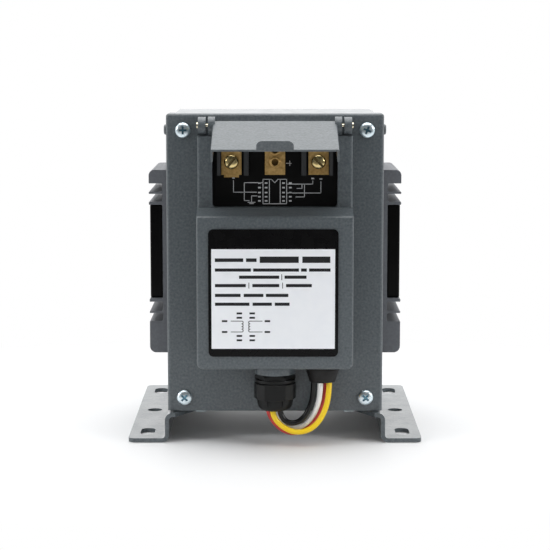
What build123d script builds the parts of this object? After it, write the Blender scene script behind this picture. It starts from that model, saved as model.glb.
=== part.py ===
"""Potted voltage transformer: sheet-steel case on two Z-shaped feet, terminal compartment with a hinged
flap, wiring box with gland and lead wires, extruded side heat sinks, potted core and coil.

Millimetres, +X right, +Y to the rear, +Z up. The origin is on the mounting plane, midway between the two
round foot holes. Depths called ahead count forward from the outer face of the front cover.
"""
from build123d import *
import math
import os

# Feet
FOOT_LENGTH = 138.0
FOOT_HEIGHT = 14.5
FOOT_SHEET = 2.0
FOOT_OUTER_FLANGE = 18.0
FOOT_INNER_FLANGE = 22.0
FOOT_BEND = 1.6
FOOT_CORNER = 3.3
FOOT_CASE_GAP = 0.4
FOOT_CUT_WIDTH = 17.0
FOOT_CUT_LENGTH = 28.0
FOOT_HOLE_RADIUS = 3.8
FOOT_HOLE_EDGE = 8.6
FOOT_SLOT_PITCH = 52.7
FOOT_SLOT_WIDTH = 7.0
FOOT_SLOT_LENGTH = 14.6
FOOT_BOLT_INSET = 14.0
FOOT_BOLT_RADIUS = 2.5
FOOT_BOLT_HEAD = 8.0
FOOT_BOLT_HEAD_HEIGHT = 3.5
FOOT_BOLT_TIP = 1.2
FOOT_BOLT_FRONT = 30.0
FOOT_BOLT_REAR = 12.0
FOOT_NUT_HEIGHT = 4.0

# Case and covers
COVER_WIDTH = 105.0
COVER_HEAD = 5.5
COVER_SHEET = 1.0
COVER_FLANGE = 14.0
COVER_BEND = 1.6
COVER_FIT = 0.1
COVER_LIFT = 0.5
COVER_SETBACK = 4.0
CASE_DEPTH = 88.0
CASE_SHEET = 1.2
CASE_BEND = 2.0
CASE_LIP = 12.0
CASE_LIP_BEND = 1.0
REAR_COVER_MARGIN = 0.1
BELL_WIDTH = 78.0
BELL_HEIGHT = 102.0
BELL_DEPTH = 16.0
BELL_TAPER = 8.0
BELL_CORNER = 9.0
BELL_ROUND = 4.0

# Screws of the covers
SCREW_RADIUS = 2.0
SCREW_HEAD_RADIUS = 3.7
SCREW_HEAD_HEIGHT = 2.2
SCREW_LENGTH = 8.0
SCREW_INSET = 8.2
SCREW_INSET_TOP = 8.0
SCREW_INSET_BOTTOM = 6.6
SIDE_SCREW_RADIUS = 1.5
SIDE_SCREW_HEAD_RADIUS = 2.5
SIDE_SCREW_HEAD_HEIGHT = 1.3
SIDE_SCREW_LENGTH = 5.0
HOLE_CLEARANCE = 0.2
THREAD_FIT = 0.05
SCREW_DOME_SHARE = 0.6

# Terminal housing
HOUSING_MARGIN = 15.35
HOUSING_SHEET = 1.5
HOUSING_BOTTOM = 39.5
BOX_DEPTH = 23.0
SLOPE_RISE = 2.9
FRAME_DEPTH = 8.0
FRAME_HEIGHT = 34.2
FRAME_SIDE = 7.15
HOUSING_ROUND = 1.2
HOUSING_CORNER = 2.9
RECESS_CORNER = 1.6
WIRE_WINDOW_WIDTH = 44.0
WIRE_WINDOW_HEIGHT = 40.0
WIRE_WINDOW_CORNER = 4.0

# Label plate, set in from the edges of the wiring box
LABEL_LEFT = 5.6
LABEL_RIGHT = 7.2
LABEL_ABOVE = 5.9
LABEL_BELOW = 6.4
LABEL_THICKNESS = 0.5
LABEL_CORNER = 2.4

# Terminal block, bars and screws
BLOCK_FIT = 0.15
BLOCK_FLOOR = 1.5
BLOCK_DROP = 0.65
BLOCK_PLUG_SIDE = 4.5
BLOCK_PLUG_DROP = 3.4
BLOCK_PLUG_DEPTH = 8.0
BLOCK_PLUG_LIFT = 4.0
BLOCK_WINDOW_FIT = 0.3
RIB_TOP = 6.8
RIB_DROP = 1.3
RIB_HEIGHT = 17.6
RIB_OUTWARD = 6.0
RIB_OUTER_WIDTH = 1.7
RIB_INWARD = 7.1
RIB_INNER_WIDTH = 2.3
BAR_EDGE = 9.1
BAR_WIDTH = 9.7
BAR_HEIGHT = 16.0
BAR_DROP = 2.7
BAR_SHEET = 1.5
BAR_SEAT = 1.1
BAR_SCREW_LIFT = 6.1
BAR_TONGUE_WIDTH = 7.2
BAR_TONGUE_DROP = 1.2
BAR_RIM_RADIUS = 2.75
BAR_RIM_HEIGHT = 0.6
BAR_HOLE_RADIUS = 1.9
BAR_HOLE_PITCH = 6.0
TANG_WIDTH = 4.0
TANG_REACH = 12.0
TANG_LIFT = 13.0
TANG_FIT = 0.1
TERMINAL_SCREW_RADIUS = 1.75
TERMINAL_SCREW_LENGTH = 8.0
TERMINAL_HEAD_RADIUS = 3.5
TERMINAL_HEAD_HEIGHT = 2.2
TERMINAL_SLOT_WIDTH = 1.2
TERMINAL_SLOT_DEPTH = 1.1
TERMINAL_SLOT_TURNS = (-52.0, 45.0)

# Flap and hinge
HINGE_AHEAD = 6.5
HINGE_HEIGHT = 154.7
HINGE_LIFT = 5.0
PIN_RADIUS = 0.8
PIN_RUNNING_FIT = 0.06
PIN_HEAD_RADIUS = 1.5
PIN_HEAD_HEIGHT = 0.7
PIN_TAIL = 0.4
LUG_WIDTH = 3.7
LUG_RADIUS = 3.9
KNUCKLE_RADIUS = 4.2
KNUCKLE_REACH = 2.3
KNUCKLE_GAP = 1.1
FLAP_TILT = 17.9
FLAP_FIT = 0.4
FLAP_FOOT_GAP = 2.35
FLAP_SHEET = 1.0
FLAP_ABOVE_PIN = 2.05
FLAP_BEHIND_PIN = 0.55
FLAP_FLANGE = 6.0
FLAP_ROUND = 0.8
TAB_WIDTH = 17.2
TAB_HEIGHT = 4.2
TAB_CORNER = 2.6

# Gland and grommet
GLAND_EDGE = 11.1
GLAND_RADIUS = 9.7
BOSS_HEIGHT = 3.5
COLLAR_HEIGHT = 4.2
COLLAR_ACROSS = 17.0
COLLAR_HEXAGON = 2.5
COLLAR_ROUND = 0.5
GLAND_NUT_HEIGHT = 13.4
GLAND_NUT_GRIP = 8.0
GLAND_NUT_WALL = 3.1
GLAND_GRIP_RADIUS = 10.05
GLAND_GRIP_SIDES = 12
GLAND_GRIP_BEVEL = 0.4
GLAND_NOSE_RADIUS = 8.7
GLAND_NOSE_SLOPE = 0.35
GLAND_LIP = 0.6
GLAND_MOUTH_RADIUS = 5.6
GLAND_FLUTES = 8
GLAND_FLUTE_RADIUS = 0.6
GLAND_STEM_RADIUS = 7.6
GLAND_STEM_ABOVE = 6.0
GLAND_BORE_RADIUS = 5.2
GLAND_THREAD_LENGTH = 7.0
GLAND_FIT = 0.2
SEAL_INSET = 2.1
LOCKNUT_ACROSS = 19.0
LOCKNUT_HEIGHT = 4.0
GROMMET_EDGE = 14.25
GROMMET_TOP_RADIUS = 8.6
GROMMET_BOTTOM_RADIUS = 6.2
GROMMET_RIM = 1.4
GROMMET_RIM_STEP = 0.5
GROMMET_DROP = 7.5
GROMMET_NECK_RADIUS = 6.6
GROMMET_HEAD_HEIGHT = 1.6

# Lead wires: routes as x, ahead, z from the grommet's face to the face of the gland's seal
WIRE_RADIUS = 1.35
WIRE_ARC_SHARE = 0.45
LEADS = {
    "lead_black": [
        (18.7, 13.5, 32.0), (18.7, 13.5, 25.4), (18.3, 13.7, 18.8), (16.1, 13.9, 14.1), (12.4, 14.0, 11.6),
        (7.9, 14.0, 11.7), (4.9, 14.0, 13.3), (3.1, 13.9, 15.6), (2.5, 13.9, 18.0), (2.5, 13.9, 20.3),
    ],
    "lead_white": [
        (21.9, 13.8, 32.0), (21.9, 13.8, 25.6), (21.7, 13.2, 18.8), (18.9, 12.0, 12.5), (13.6, 11.3, 9.2),
        (8.4, 11.0, 9.4), (4.6, 10.9, 11.8), (2.2, 10.8, 15.2), (1.5, 10.8, 17.9), (1.5, 10.8, 20.3),
    ],
    "lead_red": [
        (24.2, 10.4, 32.0), (24.2, 10.4, 25.4), (23.2, 9.6, 18.2), (20.4, 8.8, 11.6), (15.6, 8.3, 6.9),
        (9.4, 8.2, 5.3), (3.4, 8.4, 7.4), (-0.4, 8.9, 11.2), (-2.4, 9.6, 14.8), (-3.1, 10.0, 17.8),
        (-3.1, 10.0, 20.3),
    ],
    "lead_yellow": [
        (26.1, 13.6, 32.0), (26.1, 13.6, 26.0), (25.2, 13.8, 19.5), (22.3, 14.1, 12.6), (16.8, 14.2, 7.9),
        (9.8, 14.2, 6.9), (3.8, 14.2, 9.7), (0.3, 14.2, 13.4), (-1.2, 14.2, 17.0), (-1.2, 14.2, 20.3),
    ],
}

# Heat sinks: extruded profile, fins as distance from the nearer end to their far side, and thickness
SINK_LENGTH = 56.0
SINK_SETBACK = 25.0
SINK_BOTTOM = 39.6
SINK_HEIGHT = 91.7
SINK_WEB = 4.6
SINK_REACH = 11.3
SINK_BOTTOM_BLOCK = 15.8
SINK_TOP_BLOCK = 6.7
SINK_LOW_FIN = (20.9, 0.9)
SINK_LOW_CHANNEL_FIN = (27.1, 1.4)
SINK_HIGH_CHANNEL_FIN = (17.3, 1.4)
SINK_HIGH_FIN = (11.9, 1.0)
SINK_BOTTOM_CORNER = 3.2
SINK_TOP_CORNER = 2.7
SINK_ROOT = 0.8
SINK_TIP = 0.3
SINK_SCREW_PITCH = 40.0
SINK_SCREW_RADIUS = 1.5
SINK_SCREW_LENGTH = 8.0
SINK_SCREW_HEAD_RADIUS = 2.8
SINK_SCREW_HEAD_HEIGHT = 1.8
WINDOW_LENGTH = 34.0
WINDOW_HEIGHT = 34.0
WINDOW_CORNER = 3.0

# Potting compound
POTTING_COVER = 1.5
POTTING_HEAD_SETBACK = 4.0
POTTING_HEAD_SHORT = 0.2
POTTING_HEAD_ROUND = 1.0
POTTING_TAIL_WALL = 2.4
POTTING_TAIL_GAP = 2.0

# Core and coil
CORE_SIDE_GAP = 2.2
CORE_HEIGHT = 80.0
CORE_LIMB = 16.0
CORE_STACK = 46.0
COIL_FIT = 0.3
COIL_SIDE_GAP = 1.0
BOBBIN_WALL = 1.2
BOBBIN_RIM = 0.5
PRIMARY_BUILD = 6.2
WRAP_BUILD = 0.8
BOBBIN_CORNER = 0.5

# Places worked out from the sizes above
FRONT_Y = COVER_SETBACK - FOOT_LENGTH / 2
COVER_BOTTOM = FOOT_HEIGHT + COVER_LIFT
COVER_TOP = HINGE_HEIGHT + COVER_HEAD
COVER_X = COVER_WIDTH / 2
CASE_X = COVER_X - COVER_SHEET - COVER_FIT
CASE_TOP = COVER_TOP - COVER_SHEET - COVER_FIT
CASE_FRONT = FRONT_Y + COVER_SHEET
CASE_REAR = CASE_FRONT + CASE_DEPTH
CASE_INNER_X = CASE_X - CASE_SHEET
CASE_FLOOR = FOOT_HEIGHT + CASE_SHEET
CASE_CEILING = CASE_TOP - CASE_SHEET
CASE_MID_Z = (FOOT_HEIGHT + CASE_TOP) / 2
REAR_FACE = CASE_REAR + COVER_SHEET
SCREW_X = COVER_X - SCREW_INSET
SCREW_LOW_Z = COVER_BOTTOM + SCREW_INSET_BOTTOM
SCREW_HIGH_Z = COVER_TOP - SCREW_INSET_TOP
SIDE_SCREW_Y = FRONT_Y + COVER_FLANGE / 2
FOOT_UPRIGHT_X = CASE_X + FOOT_CASE_GAP
FOOT_OUTER_X = FOOT_UPRIGHT_X + FOOT_SHEET + FOOT_OUTER_FLANGE
FOOT_HOLE_X = FOOT_OUTER_X - FOOT_HOLE_EDGE
FOOT_BOLT_X = CASE_X - FOOT_BOLT_INSET
FOOT_BOLT_YS = (CASE_FRONT + FOOT_BOLT_FRONT, CASE_REAR - FOOT_BOLT_REAR)
HOUSING_X = COVER_X - HOUSING_MARGIN
FRAME_TOP = HINGE_HEIGHT - HINGE_LIFT
FRAME_FOOT = FRAME_TOP - FRAME_HEIGHT
BOX_TOP = FRAME_FOOT - SLOPE_RISE
RECESS_X = HOUSING_X - FRAME_SIDE
BLOCK_X = RECESS_X - BLOCK_FIT
BLOCK_LOW = FRAME_FOOT + BLOCK_FIT
BLOCK_HIGH = FRAME_TOP - BLOCK_DROP
PLUG_X = RECESS_X - BLOCK_PLUG_SIDE
PLUG_LOW = BLOCK_LOW + BLOCK_PLUG_LIFT
PLUG_HIGH = BLOCK_HIGH - BLOCK_PLUG_DROP
RIB_FOOT = FRAME_TOP - RIB_DROP - RIB_HEIGHT
BAR_PITCH = RECESS_X - BAR_EDGE
BAR_XS = (-BAR_PITCH, 0.0, BAR_PITCH)
BAR_BACK = BLOCK_FLOOR + BAR_SEAT
BAR_FACE = BAR_BACK + BAR_SHEET
BAR_FOOT = FRAME_TOP - BAR_DROP - BAR_HEIGHT
BAR_SCREW_Z = BAR_FOOT + BAR_SCREW_LIFT
HINGE_Y = FRONT_Y - HINGE_AHEAD
FLAP_X = RECESS_X - FLAP_FIT
FLAP_INNER_X = FLAP_X - FLAP_SHEET
FLAP_LENGTH = FLAP_BEHIND_PIN + HINGE_LIFT + FRAME_HEIGHT - FLAP_FOOT_GAP
KNUCKLE_OUTER = FLAP_X + KNUCKLE_REACH
LUG_INNER = KNUCKLE_OUTER + KNUCKLE_GAP
GLAND_Y = FRONT_Y - BOX_DEPTH + GLAND_EDGE
GROMMET_X = HOUSING_X - GROMMET_EDGE
BOSS_FACE = HOUSING_BOTTOM - BOSS_HEIGHT
COLLAR_FACE = BOSS_FACE - COLLAR_HEIGHT
GLAND_NUT_TOP = COLLAR_FACE - GLAND_FIT
GLAND_NUT_BOTTOM = GLAND_NUT_TOP - GLAND_NUT_HEIGHT
SEAL_FACE = GLAND_NUT_BOTTOM + SEAL_INSET
GLAND_NUT_BORE = GLAND_RADIUS - GLAND_NUT_WALL
SINK_FRONT = FRONT_Y + SINK_SETBACK
SINK_MID_Y = SINK_FRONT + SINK_LENGTH / 2
SINK_WEB_X = CASE_X + SINK_WEB
SINK_TIP_X = CASE_X + SINK_REACH
SINK_TOP = SINK_BOTTOM + SINK_HEIGHT
CHANNEL_LOW = SINK_BOTTOM + SINK_LOW_CHANNEL_FIN[0]
CHANNEL_HIGH = SINK_TOP - SINK_HIGH_CHANNEL_FIN[0]
CORE_X = CASE_INNER_X - CORE_SIDE_GAP
CORE_Z = (CHANNEL_LOW + CHANNEL_HIGH) / 2
SINK_SCREW_ZS = (SINK_BOTTOM + SINK_BOTTOM_BLOCK / 2, SINK_TOP - SINK_TOP_BLOCK / 2)
SINK_SCREW_YS = (SINK_MID_Y - SINK_SCREW_PITCH / 2, SINK_MID_Y + SINK_SCREW_PITCH / 2)
LIMB_X = CORE_LIMB
LIMB_Y = CORE_STACK / 2
COIL_LOW = CORE_Z - CORE_HEIGHT / 2 + CORE_LIMB + COIL_FIT
COIL_HIGH = CORE_Z + CORE_HEIGHT / 2 - CORE_LIMB - COIL_FIT
PRIMARY_START = COIL_FIT + BOBBIN_WALL
WRAP_START = PRIMARY_START + PRIMARY_BUILD
SECONDARY_START = WRAP_START + WRAP_BUILD
COIL_EDGE = CORE_X - CORE_LIMB - LIMB_X - COIL_SIDE_GAP
SECONDARY_BUILD = COIL_EDGE - BOBBIN_RIM - SECONDARY_START
SPARE = 1.0


def block(x, y, z):
    """Box between three (low, high) pairs."""
    spans = (x, y, z)
    centre = [(low + high) / 2 for low, high in spans]
    size = [high - low for low, high in spans]
    return Pos(*centre) * Box(*size)


def rounded_block(x, y, z, radius, axis):
    """Box with its four edges along one axis rounded."""
    return fillet(block(x, y, z).edges().filter_by(axis), radius)


def rod(start, direction, radius, length):
    """Cylinder from a start point along a direction."""
    ends = (Align.CENTER, Align.CENTER, Align.MIN)
    return Plane(origin=start, z_dir=direction) * Cylinder(radius, length, align=ends)


def hexagon_rod(start, direction, across, length):
    """Hexagonal bar from a start point along a direction."""
    outline = RegularPolygon(across / 2, 6, major_radius=False)
    return extrude(Plane(origin=start, z_dir=direction) * outline, length)


def ahead(depth):
    """Y of a plane that lies a depth in front of the front cover."""
    return FRONT_Y - depth


def both_sides(solid):
    """A solid and its mirror image in the plane between left and right."""
    return Compound([solid, mirror(solid, about=Plane.YZ)])


def pan_head_screw(seat, outward, head_radius, head_height, radius, length):
    """Screw with a domed head on a seat, its shank running against the outward direction."""
    head = rod(seat, outward, head_radius, head_height)
    rim = head.edges().filter_by(GeomType.CIRCLE).sort_by(Axis(seat, outward))[-1]
    head = fillet(rim, head_height * SCREW_DOME_SHARE)
    inward = tuple(-value for value in outward)
    return (head + rod(seat, inward, radius, length)).solid()


def cover_screw_points(y):
    """The four corner points of a cover's screws."""
    return [(x, y, z) for x in (-SCREW_X, SCREW_X) for z in (SCREW_LOW_Z, SCREW_HIGH_Z)]


def front_cover():
    """Front panel with top and side flanges, bent from one sheet, with its lower edge plain."""

    def form(inset, bend, drop):
        solid = block(
            (inset - COVER_X, COVER_X - inset),
            (FRONT_Y + inset, FRONT_Y + COVER_FLANGE + inset),
            (COVER_BOTTOM - drop, COVER_TOP - inset),
        )
        front = solid.faces().sort_by(Axis.Y)[0]
        bends = front.edges().sort_by(Axis.Z)[1:]
        top_edges = solid.faces().sort_by(Axis.Z)[-1].edges().filter_by(Axis.Y)
        return fillet(bends + top_edges, bend)

    cover = form(0.0, COVER_BEND, 0.0) - form(COVER_SHEET, COVER_BEND - COVER_SHEET, SPARE)
    for x, y, z in cover_screw_points(FRONT_Y - SPARE):
        cover -= rod((x, y, z), (0, 1, 0), SCREW_RADIUS + HOLE_CLEARANCE, COVER_SHEET + 2 * SPARE)
    cover -= rod((-COVER_X - SPARE, SIDE_SCREW_Y, SCREW_HIGH_Z), (1, 0, 0),
                 SIDE_SCREW_RADIUS + HOLE_CLEARANCE, COVER_WIDTH + 2 * SPARE)
    through = (FRONT_Y - SPARE, FRONT_Y + COVER_SHEET + SPARE)
    plug_half = PLUG_X + BLOCK_WINDOW_FIT
    cover -= block((-plug_half, plug_half), through,
                   (PLUG_LOW - BLOCK_WINDOW_FIT, PLUG_HIGH + BLOCK_WINDOW_FIT))
    box_mid = (HOUSING_BOTTOM + BOX_TOP) / 2
    cover -= rounded_block(
        (-WIRE_WINDOW_WIDTH / 2, WIRE_WINDOW_WIDTH / 2), through,
        (box_mid - WIRE_WINDOW_HEIGHT / 2, box_mid + WIRE_WINDOW_HEIGHT / 2), WIRE_WINDOW_CORNER, Axis.Y,
    )
    return cover.solid()


def case_wrapper():
    """Tube of sheet steel with an inward lip at both ends and a window in both sides."""
    case = rounded_block((-CASE_X, CASE_X), (CASE_FRONT, CASE_REAR), (FOOT_HEIGHT, CASE_TOP), CASE_BEND,
                         Axis.Y)
    ends = case.faces().sort_by(Axis.Y)
    case = fillet(ends[0].edges() + ends[-1].edges(), CASE_LIP_BEND)
    case -= rounded_block(
        (-CASE_INNER_X, CASE_INNER_X), (CASE_FRONT + CASE_SHEET, CASE_REAR - CASE_SHEET),
        (CASE_FLOOR, CASE_CEILING), CASE_BEND - CASE_SHEET, Axis.Y,
    )
    lip_x = CASE_X - CASE_LIP
    case -= rounded_block(
        (-lip_x, lip_x), (CASE_FRONT - SPARE, CASE_REAR + SPARE),
        (FOOT_HEIGHT + CASE_LIP, CASE_TOP - CASE_LIP), CASE_BEND, Axis.Y,
    )
    case -= side_window((-CASE_X - SPARE, CASE_X + SPARE))
    for x, y, z in cover_screw_points(CASE_FRONT - SPARE):
        case -= rod((x, y, z), (0, 1, 0), SCREW_RADIUS + THREAD_FIT, CASE_DEPTH + 2 * SPARE)
    case -= rod((-CASE_X - SPARE, SIDE_SCREW_Y, SCREW_HIGH_Z), (1, 0, 0),
                SIDE_SCREW_RADIUS + THREAD_FIT, 2 * (CASE_X + SPARE))
    for y in SINK_SCREW_YS:
        for z in SINK_SCREW_ZS:
            case -= rod((-CASE_X - SPARE, y, z), (1, 0, 0), SINK_SCREW_RADIUS + HOLE_CLEARANCE,
                        2 * (CASE_X + SPARE))
    for x in (-FOOT_BOLT_X, FOOT_BOLT_X):
        for y in FOOT_BOLT_YS:
            case -= rod((x, y, FOOT_HEIGHT - SPARE), (0, 0, 1), FOOT_BOLT_RADIUS + HOLE_CLEARANCE,
                        CASE_SHEET + 2 * SPARE)
    return case.solid()


def side_window(x):
    """Bar with rounded corners through the windows of the case and the heat sinks."""
    return rounded_block(
        x, (SINK_MID_Y - WINDOW_LENGTH / 2, SINK_MID_Y + WINDOW_LENGTH / 2),
        (CORE_Z - WINDOW_HEIGHT / 2, CORE_Z + WINDOW_HEIGHT / 2), WINDOW_CORNER, Axis.X,
    )


def rear_cover():
    """Plain rear plate with a shallow drawn bell."""

    def bell(inset):
        outline = RectangleRounded(BELL_WIDTH - 2 * inset, BELL_HEIGHT - 2 * inset, BELL_CORNER - inset)
        base = Plane(origin=(0, CASE_REAR, CASE_MID_Z), x_dir=(1, 0, 0), z_dir=(0, 1, 0))
        solid = extrude(base * outline, COVER_SHEET + BELL_DEPTH - inset, taper=BELL_TAPER)
        return fillet(solid.faces().sort_by(Axis.Y)[-1].edges(), BELL_ROUND - inset)

    edge_x = CASE_X - REAR_COVER_MARGIN
    cover = rounded_block(
        (-edge_x, edge_x), (CASE_REAR, REAR_FACE),
        (FOOT_HEIGHT + REAR_COVER_MARGIN, CASE_TOP - REAR_COVER_MARGIN), CASE_BEND, Axis.Y,
    )
    cover = cover + bell(0.0) - bell(COVER_SHEET)
    for x, y, z in cover_screw_points(CASE_REAR - SPARE):
        cover -= rod((x, y, z), (0, 1, 0), SCREW_RADIUS + HOLE_CLEARANCE, COVER_SHEET + 2 * SPARE)
    return cover.solid()


def cover_screws():
    """Eight pan-head screws, four in each cover."""
    head = (SCREW_HEAD_RADIUS, SCREW_HEAD_HEIGHT, SCREW_RADIUS, SCREW_LENGTH)
    screws = [pan_head_screw(point, (0, -1, 0), *head) for point in cover_screw_points(FRONT_Y)]
    screws += [pan_head_screw(point, (0, 1, 0), *head) for point in cover_screw_points(REAR_FACE)]
    return Compound(screws)


def side_screws():
    """Two pan-head screws through the side flanges of the front cover."""
    seat = (COVER_X, SIDE_SCREW_Y, SCREW_HIGH_Z)
    return both_sides(pan_head_screw(seat, (1, 0, 0), SIDE_SCREW_HEAD_RADIUS, SIDE_SCREW_HEAD_HEIGHT,
                                     SIDE_SCREW_RADIUS, SIDE_SCREW_LENGTH))


def terminal_housing():
    """Pressed housing: shallow open-topped terminal recess above, deep wiring box below."""

    def form(inset):
        behind = FRONT_Y + HOUSING_SHEET + SPARE
        outline = make_face(Polyline(
            (behind, HOUSING_BOTTOM), (ahead(BOX_DEPTH), HOUSING_BOTTOM), (ahead(BOX_DEPTH), BOX_TOP),
            (ahead(FRAME_DEPTH), FRAME_FOOT), (ahead(FRAME_DEPTH), FRAME_TOP), (behind, FRAME_TOP),
            close=True,
        ))
        if inset:
            outline = offset(outline, -inset, kind=Kind.INTERSECTION)
        return extrude(Plane.YZ * outline, HOUSING_X - inset, both=True)

    def lower_corners(solid):
        return solid.faces().sort_by(Axis.Z)[0].edges().filter_by(Axis.Y)

    def recess(grow):
        half = RECESS_X + grow
        reach = (ahead(FRAME_DEPTH + SPARE), FRONT_Y + HOUSING_SHEET + 2 * SPARE)
        solid = block((-half, half), reach, (FRAME_FOOT - grow, FRAME_TOP + SPARE))
        return fillet(lower_corners(solid), RECESS_CORNER + grow)

    shell = form(0.0)
    shell = fillet(lower_corners(shell), HOUSING_CORNER)
    shell = fillet(shell.faces().sort_by(Axis.Y)[0].edges(), HOUSING_ROUND)
    columns = shell.edges().filter_by(Axis.Z).filter_by_position(Axis.Y, ahead(FRAME_DEPTH) - THREAD_FIT,
                                                                 ahead(FRAME_DEPTH) + THREAD_FIT)
    shell = fillet(columns, HOUSING_ROUND)

    hollow = form(HOUSING_SHEET)
    hollow = fillet(lower_corners(hollow), HOUSING_CORNER - HOUSING_SHEET)
    shell -= hollow - recess(HOUSING_SHEET)
    shell -= recess(0.0)
    shell -= block((-HOUSING_X - SPARE, HOUSING_X + SPARE), (FRONT_Y, FRONT_Y + HOUSING_SHEET + 2 * SPARE),
                   (HOUSING_BOTTOM - SPARE, FRAME_TOP + SPARE))

    floor = HOUSING_BOTTOM + HOUSING_SHEET
    shell += rod((0, GLAND_Y, BOSS_FACE), (0, 0, 1), GLAND_RADIUS, BOSS_HEIGHT + HOUSING_SHEET / 2)
    shell -= rod((0, GLAND_Y, BOSS_FACE - SPARE), (0, 0, 1), GLAND_STEM_RADIUS + GLAND_FIT,
                 floor - BOSS_FACE + 2 * SPARE)
    shell -= rod((GROMMET_X, GLAND_Y, HOUSING_BOTTOM - SPARE), (0, 0, 1), GROMMET_NECK_RADIUS + GLAND_FIT,
                 HOUSING_SHEET + 2 * SPARE)
    return shell.solid()


def label_plate():
    """Thin rounded plate on the face of the wiring box."""
    return rounded_block(
        (LABEL_LEFT - HOUSING_X, HOUSING_X - LABEL_RIGHT),
        (ahead(BOX_DEPTH + LABEL_THICKNESS), ahead(BOX_DEPTH)),
        (HOUSING_BOTTOM + LABEL_BELOW, BOX_TOP - LABEL_ABOVE), LABEL_CORNER, Axis.Y,
    ).solid()


def terminal_block():
    """Moulded block in the recess: floor, four barrier ribs, three seats, and a plug through the cover."""
    moulding = block((-BLOCK_X, BLOCK_X), (ahead(BLOCK_FLOOR), FRONT_Y), (BLOCK_LOW, BLOCK_HIGH))
    lower_corners = moulding.faces().sort_by(Axis.Z)[0].edges().filter_by(Axis.Y)
    moulding = fillet(lower_corners, RECESS_CORNER - BLOCK_FIT)
    moulding += block((-PLUG_X, PLUG_X), (FRONT_Y, FRONT_Y + BLOCK_PLUG_DEPTH), (PLUG_LOW, PLUG_HIGH))
    ribs = [(BAR_PITCH + RIB_OUTWARD, RIB_OUTER_WIDTH), (BAR_PITCH - RIB_INWARD, RIB_INNER_WIDTH)]
    for middle, width in ribs:
        for x in (-middle, middle):
            moulding += block((x - width / 2, x + width / 2), (ahead(RIB_TOP), ahead(BLOCK_FLOOR)),
                              (RIB_FOOT, RIB_FOOT + RIB_HEIGHT))
    for x in BAR_XS:
        moulding += block((x - BAR_WIDTH / 2, x + BAR_WIDTH / 2), (ahead(BAR_BACK), ahead(BLOCK_FLOOR)),
                          (BAR_FOOT, BAR_FOOT + BAR_HEIGHT))
        moulding -= tang(x, TANG_FIT)
    for x in (BAR_XS[0], BAR_XS[-1]):
        moulding -= rod((x, ahead(BAR_FACE), BAR_SCREW_Z), (0, 1, 0), TERMINAL_SCREW_RADIUS + THREAD_FIT,
                        TERMINAL_SCREW_LENGTH + SPARE)
    return moulding.solid()


def tang(x, gap):
    """Tail of a terminal bar through the block into the case."""
    low = BAR_FOOT + TANG_LIFT
    half = TANG_WIDTH / 2 + gap
    return block((x - half, x + half), (ahead(BAR_BACK), FRONT_Y + TANG_REACH),
                 (low - gap, low + BAR_SHEET + gap))


def terminal_bar(x, tongue, rim):
    """Brass bar on its seat, with a tail, and either a screw hole or two rimmed holes."""
    face = (ahead(BAR_FACE), ahead(BAR_BACK))
    bar = block((x - BAR_WIDTH / 2, x + BAR_WIDTH / 2), face, (BAR_FOOT, BAR_FOOT + BAR_HEIGHT))
    bar += tang(x, 0.0)
    if tongue:
        bar += block((x - BAR_TONGUE_WIDTH / 2, x + BAR_TONGUE_WIDTH / 2), face,
                     (BAR_FOOT - BAR_TONGUE_DROP, BAR_FOOT))
    if rim:
        for z in (BAR_SCREW_Z, BAR_SCREW_Z + BAR_HOLE_PITCH):
            bar += rod((x, ahead(BAR_FACE), z), (0, -1, 0), BAR_RIM_RADIUS, BAR_RIM_HEIGHT)
            bar -= rod((x, ahead(BAR_FACE + BAR_RIM_HEIGHT + SPARE), z), (0, 1, 0), BAR_HOLE_RADIUS,
                       BAR_RIM_HEIGHT + BAR_SHEET + 2 * SPARE)
    else:
        bar -= rod((x, ahead(BAR_FACE + SPARE), BAR_SCREW_Z), (0, 1, 0),
                   TERMINAL_SCREW_RADIUS + HOLE_CLEARANCE, BAR_SHEET + 2 * SPARE)
    return bar.solid()


def terminal_screws():
    """Two slotted brass screws, each slot at its own angle."""
    screws = []
    for x, turn in zip((BAR_XS[0], BAR_XS[-1]), TERMINAL_SLOT_TURNS):
        seat = (x, ahead(BAR_FACE), BAR_SCREW_Z)
        screw = pan_head_screw(seat, (0, -1, 0), TERMINAL_HEAD_RADIUS, TERMINAL_HEAD_HEIGHT,
                               TERMINAL_SCREW_RADIUS, TERMINAL_SCREW_LENGTH)
        slot = Box(2 * TERMINAL_HEAD_RADIUS + SPARE, 2 * TERMINAL_SLOT_DEPTH, TERMINAL_SLOT_WIDTH)
        top = ahead(BAR_FACE + TERMINAL_HEAD_HEIGHT)
        screws.append((screw - Pos(x, top, BAR_SCREW_Z) * Rot(0, turn, 0) * slot).solid())
    return Compound(screws)


def hinge_lugs():
    """Two fixed knuckles that stand on the front cover."""
    x = (LUG_INNER, LUG_INNER + LUG_WIDTH)
    lug = block(x, (HINGE_Y, FRONT_Y), (HINGE_HEIGHT - LUG_RADIUS, HINGE_HEIGHT + LUG_RADIUS))
    lug += rod((LUG_INNER, HINGE_Y, HINGE_HEIGHT), (1, 0, 0), LUG_RADIUS, LUG_WIDTH)
    lug -= rod((LUG_INNER - SPARE, HINGE_Y, HINGE_HEIGHT), (1, 0, 0), PIN_RADIUS + THREAD_FIT,
               LUG_WIDTH + 2 * SPARE)
    return both_sides(lug.solid())


def hinge_pins():
    """Two headed pins, fixed in the lugs, on which the flap's knuckles turn."""
    start = FLAP_INNER_X - PIN_TAIL
    head = LUG_INNER + LUG_WIDTH
    pin = rod((start, HINGE_Y, HINGE_HEIGHT), (1, 0, 0), PIN_RADIUS, head - start)
    pin += rod((head, HINGE_Y, HINGE_HEIGHT), (1, 0, 0), PIN_HEAD_RADIUS, PIN_HEAD_HEIGHT)
    return both_sides(pin.solid())


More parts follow.
